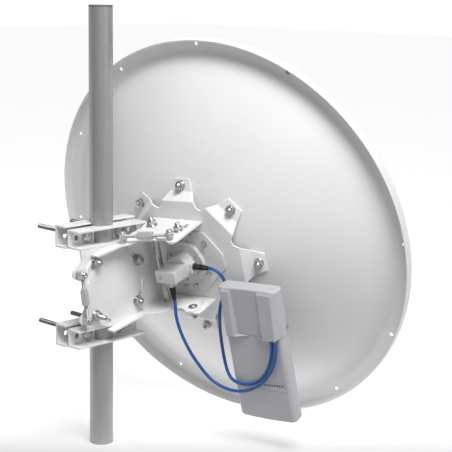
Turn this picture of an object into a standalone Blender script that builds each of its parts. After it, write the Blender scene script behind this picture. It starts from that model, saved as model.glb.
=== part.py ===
"""Microwave dish antenna on a pole mount that turns in azimuth and tilts in elevation.

The pole stands on +Z with its foot at the origin.  +X is the way the mount faces and +Y is
to its left.  The dish's own frame has its origin at the centre of the rim's flange: its x is
the way the dish looks, its y is to its left and its z is up the dish.
"""

import math

import bmesh
import bpy
from mathutils import Matrix, Vector

MM = 0.001
GAP = 0.3 * MM                       # air between two solids that rest on each other
SHEET = 3.0 * MM                     # folded steel sheet of the mount

# Pose in which the mount is built
TILT = math.radians(15.2)            # dish looks up by this much
TURN = math.radians(10.1)            # and is turned to the left by this much

# Pole
POLE_RADIUS = 19.0 * MM
POLE_WALL = 3.0 * MM
POLE_HEIGHT = 707.0 * MM
POLE_SIDES = 48

# Clamp channels that grip the pole
PIVOT_HEIGHT = 269.5 * MM            # elevation axis above the foot
CLAMP_OFFSET = 79.6 * MM             # each clamp's middle above or below that axis
FRONT_LENGTH = 144.0 * MM
FRONT_HEIGHT = 29.4 * MM
FRONT_FAR = -2.3 * MM                # the web's far face
FRONT_NEAR = -30.0 * MM              # the flanges' free edges
REAR_LENGTH = 148.0 * MM
REAR_HEIGHT = 35.4 * MM
REAR_RAISE = 1.6 * MM                # the rear channel's middle above the front channel's
REAR_NEAR = 1.0 * MM
REAR_FAR = 25.0 * MM
POLE_CLEARANCE = 0.45 * MM
CLAMP_BOLT_X = 34.0 * MM
SPARE_HOLE_X = 55.5 * MM
ROD_END_Y = 115.0 * MM

# M8 fasteners
BOLT_RADIUS = 4.0 * MM
BOLT_HOLE = 4.5 * MM
NUT_RADIUS = 7.5 * MM
NUT_HEIGHT = 6.5 * MM
DOME_RADIUS = 10.0 * MM
DOME_HEIGHT = 5.0 * MM

# Elevation bracket, in its own frame: x along the dish, z up the dish
LOCK_CIRCLE = 59.0 * MM              # the four lock bolts lie on this radius
LOCK_ANGLES = (35.0, 133.0, 227.0, 325.0)
SLOT_SWEEP = 30.0                    # degrees of each curved slot
SLOT_SPARE = 1.5
DISC_RADIUS = 67.0 * MM
PLATE_FRONT = 102.0 * MM             # the plate's edge towards the dish
FLANGE_TOP = 67.0 * MM               # outer face of the folded flanges
EAR_RADIUS = 9.0 * MM
LOWER_EAR = (-73.5 * MM, -28.0 * MM)
UPPER_EAR = (-75.0 * MM, 28.5 * MM)  # on the bracket plate, from the elevation axis
TURNBUCKLE_OUT = -41.0 * MM          # the elevation turnbuckle lies in this plane

# Azimuth axis in the elevation bracket's frame, and the parts around it
AZIMUTH_X = 86.5 * MM
AZIMUTH_Y = -49.5 * MM
LOCK_REACH = 60.0 * MM               # azimuth lock bolts from the azimuth axis
AZ_LINK_FIXED = (22.0 * MM, -51.0 * MM)
AZ_LINK_MOVING = (-202.5 * MM, -32.7 * MM)
AZ_SLOT = (-102.0, -78.5)            # degrees about the azimuth axis, in the dish's frame
PIVOT_SLEEVE_RADIUS = 5.5 * MM

# Dish, in its own frame
AXIS_BEHIND = 159.0 * MM             # azimuth axis behind the flange
AXIS_LEFT = 34.5 * MM                # and to the left of the dish's centre line
DISH_DROP = 3.4 * MM                 # dish's centre below the elevation axis, down the dish
RIM_RADIUS = 340.0 * MM
LIP_DEPTH = 19.5 * MM
BOWL_RADIUS = 314.5 * MM
BOWL_DEPTH = 124.5 * MM
DISH_SHEET = 1.6 * MM
DISH_SIDES = 72
RIM_HOLE_CIRCLE = 328.6 * MM
RIM_HOLE_RADIUS = 3.4 * MM
RIM_HOLES = 12
FEED_OPENING = 30.0 * MM

# Hub ring with eight folded tabs
TABS = 8
RING_PLANE = -127.0 * MM             # rear face of the ring
RING_HOLE = 33.0 * MM
RING_NOTCH = 100.0 * MM
TAB_FOLD = 104.5 * MM                # first fold, towards the dish
TAB_FOLD_HALF = 31.0 * MM
PAD_START = 115.6 * MM
PAD_START_HALF = 21.5 * MM
PAD_END = 136.0 * MM
PAD_END_HALF = 15.0 * MM
PAD_BOLT_CIRCLE = 125.0 * MM

# Feed
FEED_PLATE = 3.0 * MM
COLLAR_RADIUS = 37.0 * MM
COLLAR_DEPTH = 8.0 * MM
HOUSING_RADIUS = 21.0 * MM
HOUSING_END = -160.0 * MM
BLOCK_END = -195.0 * MM
BLOCK_HALF_WIDTH = 19.0 * MM
BLOCK_HALF_HEIGHT = 10.0 * MM
SIDE_PORT_X = -146.0 * MM
DOWN_PORT_X = -182.0 * MM
BOOT_RADIUS = 4.8 * MM
CABLE_RADIUS = 2.7 * MM
FEED_TUBE_RADIUS = 15.0 * MM
SPLASH_X = 62.0 * MM
SPLASH_RADIUS = 42.0 * MM

# Radio
RADIO_REAR = -172.0 * MM
RADIO_DEPTH = 28.0 * MM
RADIO_LEFT = -79.6 * MM
RADIO_RIGHT = -187.2 * MM
RADIO_TOP = -16.5 * MM
RADIO_BOTTOM = -251.5 * MM
HOOD_BOTTOM = -97.0 * MM
RIB_PROUD = 7.0 * MM
RADIO_CORNER = 7.0 * MM
STRAP_FOOT = -56.0 * MM              # the strap between ring and radio: its two ends
STRAP_PAD = -125.0 * MM
STRAP_BEND = -81.0 * MM
STRAP_TOP = -62.0 * MM
STRAP_BOTTOM = -92.0 * MM

COLLECTION_NAME = "microwave_dish_antenna"


def clear_scene():
    """Remove everything that the file opened with."""
    for item in list(bpy.data.objects):
        bpy.data.objects.remove(item, do_unlink=True)
    for group in list(bpy.data.collections):
        bpy.data.collections.remove(group)


clear_scene()
PARTS = bpy.data.collections.new(COLLECTION_NAME)
CUTTERS = bpy.data.collections.new("cutters")
bpy.context.scene.collection.children.link(PARTS)
bpy.context.scene.collection.children.link(CUTTERS)


def material(name, colour, roughness, metallic):
    """One Principled material for one part."""
    made = bpy.data.materials.new(name)
    made.use_nodes = True
    shader = made.node_tree.nodes["Principled BSDF"]
    shader.inputs["Base Color"].default_value = (*colour, 1.0)
    shader.inputs["Roughness"].default_value = roughness
    shader.inputs["Metallic"].default_value = metallic
    return made


FINISHES = {
    "white": ((0.80, 0.80, 0.79), 0.45, 0.0),
    "steel": ((0.46, 0.46, 0.46), 0.38, 0.9),
    "zinc": ((0.62, 0.62, 0.60), 0.32, 1.0),
    "cast": ((0.66, 0.66, 0.65), 0.5, 0.0),
    "radio": ((0.40, 0.40, 0.43), 0.5, 0.0),
    "rubber": ((0.012, 0.012, 0.013), 0.6, 0.0),
    "cable": ((0.015, 0.08, 0.40), 0.4, 0.0),
}


def finish(item, name, kind):
    """Name an object, give it its own material and put it among the parts."""
    item.name = name
    item.data.name = name
    item.data.materials.clear()
    item.data.materials.append(material(name + "_finish", *FINISHES[kind]))
    for group in list(item.users_collection):
        group.objects.unlink(item)
    PARTS.objects.link(item)
    return item


def as_cutter(item, name):
    """Keep an object as a tool for Booleans only."""
    item.name = name
    for group in list(item.users_collection):
        group.objects.unlink(item)
    CUTTERS.objects.link(item)
    item.hide_render = True
    item.display_type = "WIRE"
    return item


def place(item, parent=None, location=(0.0, 0.0, 0.0), rotation=(0.0, 0.0, 0.0)):
    """Set an object's parent, location and rotation."""
    item.parent = parent
    item.location = location
    item.rotation_euler = rotation
    return item


def boolean(item, tool, operation="DIFFERENCE"):
    """Cut or join one mesh with another."""
    step = item.modifiers.new(operation.lower(), "BOOLEAN")
    step.operation = operation
    step.solver = "EXACT"
    step.object = tool
    return item


def mesh_object(name, bm, smooth=False):
    """Make an object from a bmesh, with outward faces."""
    bmesh.ops.recalc_face_normals(bm, faces=bm.faces)
    data = bpy.data.meshes.new(name)
    bm.to_mesh(data)
    bm.free()
    if smooth:
        data.shade_smooth()
        data.set_sharp_from_angle(angle=math.radians(35.0))
    item = bpy.data.objects.new(name, data)
    bpy.context.scene.collection.objects.link(item)
    return item


def box(name, low, high):
    """A box between two corners."""
    bm = bmesh.new()
    bmesh.ops.create_cube(bm, size=1.0)
    size = [b - a for a, b in zip(low, high)]
    middle = [(a + b) / 2.0 for a, b in zip(low, high)]
    bmesh.ops.scale(bm, vec=size, verts=bm.verts)
    bmesh.ops.translate(bm, vec=middle, verts=bm.verts)
    return mesh_object(name, bm)


AXIS_TURNS = {
    "x": Matrix.Rotation(math.radians(90.0), 4, "Y"),
    "y": Matrix.Rotation(math.radians(-90.0), 4, "X"),
    "z": Matrix.Identity(4),
}


def turned(name, axis, profile, sides=24):
    """A profile of (radius, place along the axis) spun by a Screw modifier about the object's Z,
    which is then turned to the named axis.  The profile runs down the outer side."""
    bm = bmesh.new()
    points = [bm.verts.new((radius, 0.0, along)) for radius, along in profile]
    for first, second in zip(points, points[1:]):
        bm.edges.new((first, second))
    data = bpy.data.meshes.new(name)
    bm.to_mesh(data)
    bm.free()
    item = bpy.data.objects.new(name, data)
    bpy.context.scene.collection.objects.link(item)
    spin = item.modifiers.new("spin", "SCREW")
    spin.axis = "Z"
    spin.steps = sides
    spin.render_steps = sides
    spin.use_merge_vertices = True
    spin.merge_threshold = 0.00001
    spin.use_smooth_shade = True
    return item


def evaluated_copy(item, matrix=None):
    """Replace an object by the plain mesh that its modifiers or its curve give."""
    bpy.context.view_layer.update()
    graph = bpy.context.evaluated_depsgraph_get()
    data = bpy.data.meshes.new_from_object(item.evaluated_get(graph))
    bm = bmesh.new()
    bm.from_mesh(data)
    bmesh.ops.remove_doubles(bm, verts=bm.verts, dist=0.00001)
    bmesh.ops.transform(bm, matrix=item.matrix_world, verts=bm.verts)
    if matrix is not None:
        bmesh.ops.transform(bm, matrix=matrix, verts=bm.verts)
    bm.to_mesh(data)
    bm.free()
    made = bpy.data.objects.new(item.name, data)
    bpy.context.scene.collection.objects.link(made)
    bpy.data.objects.remove(item, do_unlink=True)
    return made


def rod(name, axis, profile, sides=24, at=(0.0, 0.0, 0.0)):
    """A turned piece laid along an axis, moved to a place."""
    spun = turned(name, axis, profile, sides)
    return evaluated_copy(spun, Matrix.Translation(at) @ AXIS_TURNS[axis])


def stepped(*steps):
    """Profile of a stack of cylinders given as (radius, low, high), from the top down."""
    profile = [(0.0, steps[0][2])]
    for radius, low, high in steps:
        profile += [(radius, high), (radius, low)]
    profile.append((0.0, steps[-1][1]))
    return profile


def hexagon(name, axis, low, high, radius=NUT_RADIUS, at=(0.0, 0.0, 0.0)):
    """A six-sided nut or head, used to be joined to its bolt."""
    bm = bmesh.new()
    bmesh.ops.create_cone(bm, cap_ends=True, segments=6, radius1=radius, radius2=radius,
                          depth=high - low)
    bmesh.ops.translate(bm, vec=(0.0, 0.0, (low + high) / 2.0), verts=bm.verts)
    bmesh.ops.transform(bm, matrix=Matrix.Translation(at) @ AXIS_TURNS[axis], verts=bm.verts)
    return as_cutter(mesh_object(name, bm), name)


PLANES = {
    "xy": Matrix.Identity(4),
    "xz": Matrix.Rotation(math.radians(90.0), 4, "X"),
    "yz": Matrix(((0, 0, 1, 0), (1, 0, 0, 0), (0, 1, 0, 0), (0, 0, 0, 1))),
}


def flat(name, plane, outline, low, high, holes=()):
    """A flat outline with holes, drawn as a 2D curve in a plane and given its thickness."""
    curve = bpy.data.curves.new(name, "CURVE")
    curve.dimensions = "2D"
    curve.fill_mode = "BOTH"
    curve.extrude = (high - low) / 2.0
    for ring in (outline, *holes):
        spline = curve.splines.new("POLY")
        spline.points.add(len(ring) - 1)
        for point, (a, b) in zip(spline.points, ring):
            point.co = (a, b, 0.0, 1.0)
        spline.use_cyclic_u = True
    item = bpy.data.objects.new(name, curve)
    bpy.context.scene.collection.objects.link(item)
    middle = (low + high) / 2.0
    if plane == "xz":
        middle = -middle
    return evaluated_copy(item, PLANES[plane] @ Matrix.Translation((0.0, 0.0, middle)))


def arc(centre, radius, start, end, steps):
    """Points along an arc, angles in degrees."""
    points = []
    for k in range(steps + 1):
        angle = math.radians(start + (end - start) * k / steps)
        points.append((centre[0] + radius * math.cos(angle), centre[1] + radius * math.sin(angle)))
    return points


def ring_hole(centre, radius, sides=16):
    """Outline of a round hole."""
    return arc(centre, radius, 0.0, 360.0 * (sides - 1) / sides, sides - 1)


def curved_slot(centre, radius, half_width, start, end):
    """Outline of a slot that follows a circle, with round ends."""
    steps = 8
    outer = arc(centre, radius + half_width, start, end, steps)
    inner = arc(centre, radius - half_width, end, start, steps)
    last = arc(centre, radius, end, end, 1)[0]
    first = arc(centre, radius, start, start, 1)[0]
    far_cap = arc(last, half_width, end, end + 180.0, 6)[1:-1]
    near_cap = arc(first, half_width, start + 180.0, start + 360.0, 6)[1:-1]
    return outer + far_cap + inner + near_cap


# Frames: each moving group hangs on an empty that stands on its joint's axis
def frame_empty(name, parent, location, rotation):
    """An empty that carries one group."""
    empty = bpy.data.objects.new(name, None)
    empty.empty_display_size = 0.05
    PARTS.objects.link(empty)
    return place(empty, parent, location, rotation)


ELEVATION = frame_empty("elevation_frame", None, (0.0, 0.0, PIVOT_HEIGHT), (0.0, -TILT, 0.0))
AZIMUTH = frame_empty("azimuth_frame", ELEVATION, (AZIMUTH_X, AZIMUTH_Y, 0.0), (0.0, 0.0, TURN))
DISH = frame_empty("dish_frame", AZIMUTH, (AXIS_BEHIND, -AXIS_LEFT, -DISH_DROP), (0.0, 0.0, 0.0))


# Pole
def make_pole():
    """A round tube closed at the foot, with a plug in its open top."""
    inner = POLE_RADIUS - POLE_WALL
    profile = [(inner, POLE_WALL), (inner, POLE_HEIGHT), (POLE_RADIUS, POLE_HEIGHT),
               (POLE_RADIUS, 0.0), (0.0, 0.0)]
    pole = rod("mast_pole", "z", [(0.0, POLE_WALL)] + profile, POLE_SIDES)
    finish(pole, "mast_pole", "steel")
    plug_depth = 12.0 * MM
    cap_height = 2.0 * MM
    plug = stepped((POLE_RADIUS, POLE_HEIGHT + GAP, POLE_HEIGHT + GAP + cap_height),
                   (inner - GAP, POLE_HEIGHT - plug_depth, POLE_HEIGHT + GAP))
    finish(rod("pole_plug", "z", plug, POLE_SIDES), "pole_plug", "steel")


# Clamps
def channel_outline(near, far, half_height):
    """End view of a folded channel in the y-z plane: its web is at the far side."""
    web = far - SHEET
    inner = half_height - SHEET
    return [(far, -half_height), (far, half_height), (near, half_height), (near, inner),
            (web, inner), (web, -inner), (near, -inner), (near, -half_height)]


def clamp_tool(name, height):
    """What a clamp is cut with: the pole's room and the bolt holes."""
    bm = bmesh.new()
    tall = 60.0 * MM
    bmesh.ops.create_cone(bm, cap_ends=True, segments=POLE_SIDES, depth=tall,
                          radius1=POLE_RADIUS + POLE_CLEARANCE,
                          radius2=POLE_RADIUS + POLE_CLEARANCE,
                          matrix=Matrix.Translation((0.0, 0.0, height)))
    for x in (-SPARE_HOLE_X, -CLAMP_BOLT_X, CLAMP_BOLT_X, SPARE_HOLE_X):
        turn = Matrix.Translation((x, 0.0, height)) @ AXIS_TURNS["y"]
        bmesh.ops.create_cone(bm, cap_ends=True, segments=12, depth=2.4 * REAR_FAR,
                              radius1=BOLT_HOLE, radius2=BOLT_HOLE, matrix=turn)
    return as_cutter(mesh_object(name, bm), name)


def make_clamp(name, height, cut_flange):
    """A front and a rear channel with their two long bolts."""
    tool = clamp_tool(name + "_clamp_tool", height)
    front = flat("front", "yz", channel_outline(FRONT_NEAR, FRONT_FAR, FRONT_HEIGHT / 2.0),
                 -FRONT_LENGTH / 2.0, FRONT_LENGTH / 2.0)
    front.data.transform(Matrix.Translation((0.0, 0.0, height)))
    boolean(front, tool)
    if cut_flange:
        relief = box(name + "_flange_relief",
                     (0.2 * FRONT_LENGTH, 2.0 * FRONT_NEAR, height + SHEET),
                     (FRONT_LENGTH, FRONT_FAR - SHEET - GAP, height + FRONT_HEIGHT))
        boolean(front, as_cutter(relief, name + "_flange_relief"))
    finish(front, "front_channel_" + name, "white")
    rear = flat("rear", "yz", channel_outline(REAR_NEAR, REAR_FAR, REAR_HEIGHT / 2.0),
                -REAR_LENGTH / 2.0, REAR_LENGTH / 2.0)
    rear.data.transform(Matrix.Translation((0.0, 0.0, height + REAR_RAISE)))
    boolean(rear, tool)
    finish(rear, "rear_channel_" + name, "white")
    for side, x in (("left", -CLAMP_BOLT_X), ("right", CLAMP_BOLT_X)):
        label = "clamp_bolt_" + name + "_" + side
        seat = FRONT_FAR - SHEET - GAP
        washer = REAR_FAR + GAP
        profile = [(0.0, ROD_END_Y), (BOLT_RADIUS, ROD_END_Y), (BOLT_RADIUS, seat),
                   (DOME_RADIUS, seat), (DOME_RADIUS * 0.86, seat - 0.6 * DOME_HEIGHT),
                   (DOME_RADIUS * 0.5, seat - 0.93 * DOME_HEIGHT), (0.0, seat - DOME_HEIGHT)]
        bolt = rod(label, "y", profile, 16, (x, 0.0, height))
        nut = hexagon(label + "_nut", "y", washer, washer + NUT_HEIGHT, NUT_RADIUS,
                      (x, 0.0, height))
        finish(boolean(bolt, nut, "UNION"), label, "zinc")


def lock_place(angle):
    """Centre of an elevation lock bolt in the mount's x-z plane."""
    return (LOCK_CIRCLE * math.cos(math.radians(angle)),
            PIVOT_HEIGHT + LOCK_CIRCLE * math.sin(math.radians(angle)))


def make_bracket_plate():
    """The upright plate between the front channels, with the ear for the turnbuckle."""
    low = PIVOT_HEIGHT - CLAMP_OFFSET + FRONT_HEIGHT / 2.0 + GAP
    high = PIVOT_HEIGHT + CLAMP_OFFSET - FRONT_HEIGHT / 2.0 - GAP
    ear = (UPPER_EAR[0], PIVOT_HEIGHT + UPPER_EAR[1])
    side = 60.0 * MM
    outline = [(side, low), (side, high), (-68.0 * MM, high), (-66.0 * MM, high - 16.0 * MM)]
    outline += arc(ear, EAR_RADIUS, 110.0, 250.0, 8)
    outline += [(-64.0 * MM, ear[1] - 14.0 * MM), (-56.0 * MM, low)]
    holes = [ring_hole(lock_place(angle), BOLT_HOLE) for angle in LOCK_ANGLES]
    holes.append(ring_hole(ear, 3.5 * MM))
    plate = flat("bracket_plate", "xz", outline, FRONT_NEAR, FRONT_NEAR + SHEET, holes)
    finish(plate, "bracket_plate", "white")


def make_lock_bolts():
    """Four bolts that stand in the bracket plate and pass the curved slots."""
    behind = FRONT_NEAR + SHEET + GAP
    outer = FRONT_NEAR - SHEET - 2.0 * GAP
    tip = 4.0 * MM
    for number, angle in enumerate(LOCK_ANGLES, 1):
        label = f"elevation_lock_bolt_{number}"
        x, z = lock_place(angle)
        bolt = rod(label, "y", stepped((BOLT_RADIUS, outer - NUT_HEIGHT - tip, behind + GAP)),
                   16, (x, 0.0, z))
        head = hexagon(label + "_head", "y", behind, behind + 5.0 * MM, NUT_RADIUS, (x, 0.0, z))
        nut = hexagon(label + "_nut", "y", outer - NUT_HEIGHT, outer, NUT_RADIUS, (x, 0.0, z))
        boolean(bolt, head, "UNION")
        finish(boolean(bolt, nut, "UNION"), label, "zinc")


# Turnbuckles: each is two halves that pivot on pins and slide into one another
PIN_RADIUS = 3.0 * MM
PIN_HOLE = 3.5 * MM
EYE_HALF = 5.0 * MM
LINK_RADIUS = 3.0 * MM
SLEEVE_RADIUS = 6.0 * MM
SLEEVE_BORE = 4.2 * MM
SLEEVE_LENGTH = 22.0 * MM
SLEEVE_FLOOR = 2.0 * MM
ROD_INSIDE = 3.5 * MM


def link_halves(label, length, parent_a, place_a, parent_b, place_b, turn_a, turn_b):
    """Two halves of a turnbuckle whose pins are length apart.

    Half a carries the sleeve and half b carries the rod.  Each is drawn along its own +X from
    its pin, with the pin along its own Z.
    """
    sleeve_start = (length - SLEEVE_LENGTH) / 2.0
    sleeve_end = sleeve_start + SLEEVE_LENGTH
    profile = [(0.0, sleeve_start + SLEEVE_FLOOR), (SLEEVE_BORE, sleeve_start + SLEEVE_FLOOR),
               (SLEEVE_BORE, sleeve_end), (SLEEVE_RADIUS, sleeve_end),
               (SLEEVE_RADIUS, sleeve_start), (LINK_RADIUS, sleeve_start),
               (LINK_RADIUS, 0.6 * EYE_HALF), (0.0, 0.6 * EYE_HALF)]
    sleeve = rod(label + "_sleeve", "x", profile, 12)
    stud_end = length - sleeve_end + ROD_INSIDE
    stud = rod(label + "_rod", "x", stepped((LINK_RADIUS, 0.6 * EYE_HALF, stud_end)), 12)
    for half, name in ((sleeve, label + "_sleeve"), (stud, label + "_rod")):
        eye = box(name + "_eye", (-EYE_HALF, -EYE_HALF, -EYE_HALF),
                  (EYE_HALF, EYE_HALF, EYE_HALF))
        boolean(half, as_cutter(eye, name + "_eye"), "UNION")
        bore = rod(name + "_bore", "z", stepped((PIN_HOLE, -2.0 * EYE_HALF, 2.0 * EYE_HALF)), 16)
        boolean(half, as_cutter(bore, name + "_bore"))
        eye.parent = half
        bore.parent = half
        finish(half, name, "zinc")
    place(sleeve, parent_a, place_a)
    place(stud, parent_b, place_b)
    sleeve.rotation_mode = "QUATERNION"
    stud.rotation_mode = "QUATERNION"
    sleeve.rotation_quaternion = turn_a
    stud.rotation_quaternion = turn_b


def aim(direction, pin):
    """Rotation that lays +X along a direction with Z along the pin."""
    x = Vector(direction).normalized()
    z = Vector(pin).normalized()
    y = z.cross(x)
    return Matrix((x, y, z)).transposed().to_quaternion()


def make_elevation_turnbuckle():
    """From the ear on the bracket plate down to the ear on the elevation bracket."""
    lower_x = LOWER_EAR[0] * math.cos(TILT) - LOWER_EAR[1] * math.sin(TILT)
    lower_z = LOWER_EAR[0] * math.sin(TILT) + LOWER_EAR[1] * math.cos(TILT)
    run = Vector((lower_x - UPPER_EAR[0], 0.0, lower_z - UPPER_EAR[1]))
    world_down = run.normalized()
    local_up = Matrix.Rotation(TILT, 3, "Y") @ (-world_down)
    link_halves("elevation_link", run.length,
                None, (UPPER_EAR[0], TURNBUCKLE_OUT, PIVOT_HEIGHT + UPPER_EAR[1]),
                ELEVATION, (LOWER_EAR[0], TURNBUCKLE_OUT, LOWER_EAR[1]),
                aim(world_down, (0.0, -1.0, 0.0)), aim(local_up, (0.0, -1.0, 0.0)))
    head = TURNBUCKLE_OUT - EYE_HALF - GAP
    upper = rod("elevation_link_pin_upper", "y",
                [(0.0, FRONT_NEAR + SHEET + 4.0 * MM), (5.0 * MM, FRONT_NEAR + SHEET + 4.0 * MM),
                 (5.0 * MM, FRONT_NEAR + SHEET + GAP), (PIN_RADIUS, FRONT_NEAR + SHEET + GAP),
                 (PIN_RADIUS, FRONT_NEAR - GAP), (5.0 * MM, FRONT_NEAR - GAP),
                 (5.0 * MM, TURNBUCKLE_OUT + EYE_HALF + GAP),
                 (PIN_RADIUS, TURNBUCKLE_OUT + EYE_HALF + GAP), (PIN_RADIUS, head),
                 (5.0 * MM, head), (5.0 * MM, head - 3.0 * MM), (0.0, head - 3.0 * MM)], 16)
    finish(upper, "elevation_link_pin_upper", "zinc")
    place(upper, None, (UPPER_EAR[0], 0.0, PIVOT_HEIGHT + UPPER_EAR[1]))
    near = FRONT_NEAR - GAP - SHEET
    far = FRONT_NEAR - GAP
    lower = rod("elevation_link_pin_lower", "y",
                [(0.0, far + 4.0 * MM), (5.0 * MM, far + 4.0 * MM), (5.0 * MM, far + GAP),
                 (PIN_RADIUS, far + GAP), (PIN_RADIUS, near - GAP), (5.0 * MM, near - GAP),
                 (5.0 * MM, TURNBUCKLE_OUT + EYE_HALF + GAP),
                 (PIN_RADIUS, TURNBUCKLE_OUT + EYE_HALF + GAP), (PIN_RADIUS, head),
                 (5.0 * MM, head), (5.0 * MM, head - 3.0 * MM), (0.0, head - 3.0 * MM)], 16)
    finish(lower, "elevation_link_pin_lower", "zinc")
    place(lower, ELEVATION, (LOWER_EAR[0], 0.0, LOWER_EAR[1]))


def azimuth_point(x, y):
    """A point of the dish's frame, seen from the azimuth axis before the turn."""
    near = Vector((AXIS_BEHIND + x, y - AXIS_LEFT, 0.0))
    return Matrix.Rotation(TURN, 3, "Z") @ near


def make_azimuth_turnbuckle():
    """On top, from the elevation bracket's flange to the dish's top plate."""
    seat = FLANGE_TOP + GAP + SHEET
    height = seat + 2.0 * GAP + 2.5 * MM + EYE_HALF
    fixed = Vector((AZ_LINK_FIXED[0], AZ_LINK_FIXED[1], height))
    moving = azimuth_point(*AZ_LINK_MOVING) + Vector((AZIMUTH_X, AZIMUTH_Y, height))
    run = moving - fixed
    back = Matrix.Rotation(-TURN, 3, "Z") @ (-run)
    link_halves("azimuth_link", run.length, ELEVATION, fixed,
                DISH, (AZ_LINK_MOVING[0], AZ_LINK_MOVING[1], height + DISH_DROP),
                aim(run, (0.0, 0.0, 1.0)), aim(back, (0.0, 0.0, 1.0)))
    top = height + EYE_HALF + GAP
    for label, parent, spot, low in (
            ("azimuth_link_pin_fixed", ELEVATION, AZ_LINK_FIXED, FLANGE_TOP - SHEET),
            ("azimuth_link_pin_moving", DISH, AZ_LINK_MOVING, FLANGE_TOP + GAP)):
        face = low + SHEET
        profile = [(0.0, top + 3.0 * MM), (5.0 * MM, top + 3.0 * MM), (5.0 * MM, top),
                   (PIN_RADIUS, top), (PIN_RADIUS, height - EYE_HALF - GAP),
                   (5.0 * MM, height - EYE_HALF - GAP), (5.0 * MM, face + GAP),
                   (PIN_RADIUS, face + GAP), (PIN_RADIUS, low - GAP), (5.0 * MM, low - GAP),
                   (5.0 * MM, low - 4.0 * MM), (0.0, low - 4.0 * MM)]
        finish(rod(label, "z", profile, 16), label, "zinc")
        lift = DISH_DROP if parent is DISH else 0.0
        place(bpy.data.objects[label], parent, (spot[0], spot[1], lift))


# Elevation bracket
def flange_outline(upper):
    """Plan of a folded flange, which grows towards the azimuth pivot and its lock bolt.

    The lower one has a recess where the cable from the feed comes down past it.
    """
    fold = -32.0
    outer = [(104.0, fold), (107.0, -90.0), (104.0, -114.0), (89.0, -122.0), (73.0, -121.0)]
    if upper:
        outer += [(65.0, -117.0), (56.0, -101.0), (46.0, -80.0), (36.0, -67.0), (24.0, -62.0),
                  (12.0, -54.0)]
    else:
        outer += [(69.0, -110.0), (75.0, -99.0), (75.0, -89.0), (67.0, -80.0), (47.0, -71.0),
                  (31.0, -50.0)]
    outer += [(-33.0, -47.0), (-33.0, fold)]
    return [(x * MM, y * MM) for x, y in outer[::-1]]


def make_elevation_bracket():
    """The slotted plate with its ear, and the two flanges folded from it."""
    far = FRONT_NEAR - GAP
    inner = FLANGE_TOP - SHEET / 2.0
    rise = math.degrees(math.asin(inner / DISC_RADIUS))
    ear_angle = math.degrees(math.atan2(LOWER_EAR[1], LOWER_EAR[0])) % 360.0
    outline = [(PLATE_FRONT, -inner), (PLATE_FRONT, inner)]
    outline += arc((0.0, 0.0), DISC_RADIUS, rise, ear_angle - 12.0, 20)
    outline += arc(LOWER_EAR, EAR_RADIUS, ear_angle - 75.0, ear_angle + 75.0, 8)
    outline += arc((0.0, 0.0), DISC_RADIUS, ear_angle + 12.0, 360.0 - rise, 12)
    tilt = math.degrees(TILT)
    holes = [curved_slot((0.0, 0.0), LOCK_CIRCLE, BOLT_HOLE, angle - tilt - SLOT_SPARE,
                         angle - tilt + SLOT_SWEEP + SLOT_SPARE) for angle in LOCK_ANGLES]
    holes.append(ring_hole(LOWER_EAR, PIN_HOLE))
    plate = flat("elevation_bracket", "xz", outline, far - SHEET, far, holes)
    for name, low in (("top_flange", FLANGE_TOP - SHEET), ("bottom_flange", -FLANGE_TOP)):
        spots = [ring_hole((AZIMUTH_X, AZIMUTH_Y), BOLT_HOLE),
                 ring_hole((AZIMUTH_X, AZIMUTH_Y - LOCK_REACH), BOLT_HOLE)]
        if name == "top_flange":
            spots.append(ring_hole(AZ_LINK_FIXED, PIN_HOLE))
        outline = flange_outline(name == "top_flange")
        fold = as_cutter(flat(name, "xy", outline, low, low + SHEET, spots), name)
        boolean(plate, fold, "UNION")
        fold.parent = plate
    place(finish(plate, "elevation_bracket", "white"), ELEVATION)


def make_azimuth_bolts():
    """The long pivot with its sleeve, and the two lock bolts that pass the dish's slots."""
    outer = FLANGE_TOP + GAP + SHEET + GAP
    inner = FLANGE_TOP - SHEET - GAP
    head = outer + 5.0 * MM
    pivot = stepped((NUT_RADIUS, outer, head), (BOLT_RADIUS, inner, outer),
                    (PIVOT_SLEEVE_RADIUS, -inner, inner), (BOLT_RADIUS, -outer, -inner),
                    (NUT_RADIUS, -head, -outer))
    place(finish(rod("azimuth_pivot", "z", pivot, 16), "azimuth_pivot", "zinc"),
          ELEVATION, (AZIMUTH_X, AZIMUTH_Y, 0.0))
    for label, sign in (("azimuth_lock_bolt_top", 1.0), ("azimuth_lock_bolt_bottom", -1.0)):
        bolt = rod(label, "z", stepped((BOLT_RADIUS, inner - 8.0 * MM, head)), 16)
        head_part = hexagon(label + "_head", "z", outer, head)
        nut = hexagon(label + "_nut", "z", inner - NUT_HEIGHT, inner)
        boolean(bolt, head_part, "UNION")
        boolean(bolt, nut, "UNION")
        head_part.parent = bolt
        nut.parent = bolt
        place(finish(bolt, label, "zinc"), ELEVATION, (AZIMUTH_X, AZIMUTH_Y - LOCK_REACH, 0.0))
        if sign < 0.0:
            bolt.rotation_euler = (math.pi, 0.0, 0.0)


# Dish
def bowl_depth(radius):
    """How far the bowl's surface lies behind the flange: a paraboloid."""
    return -BOWL_DEPTH * (1.0 - (radius / BOWL_RADIUS) ** 2)


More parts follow.
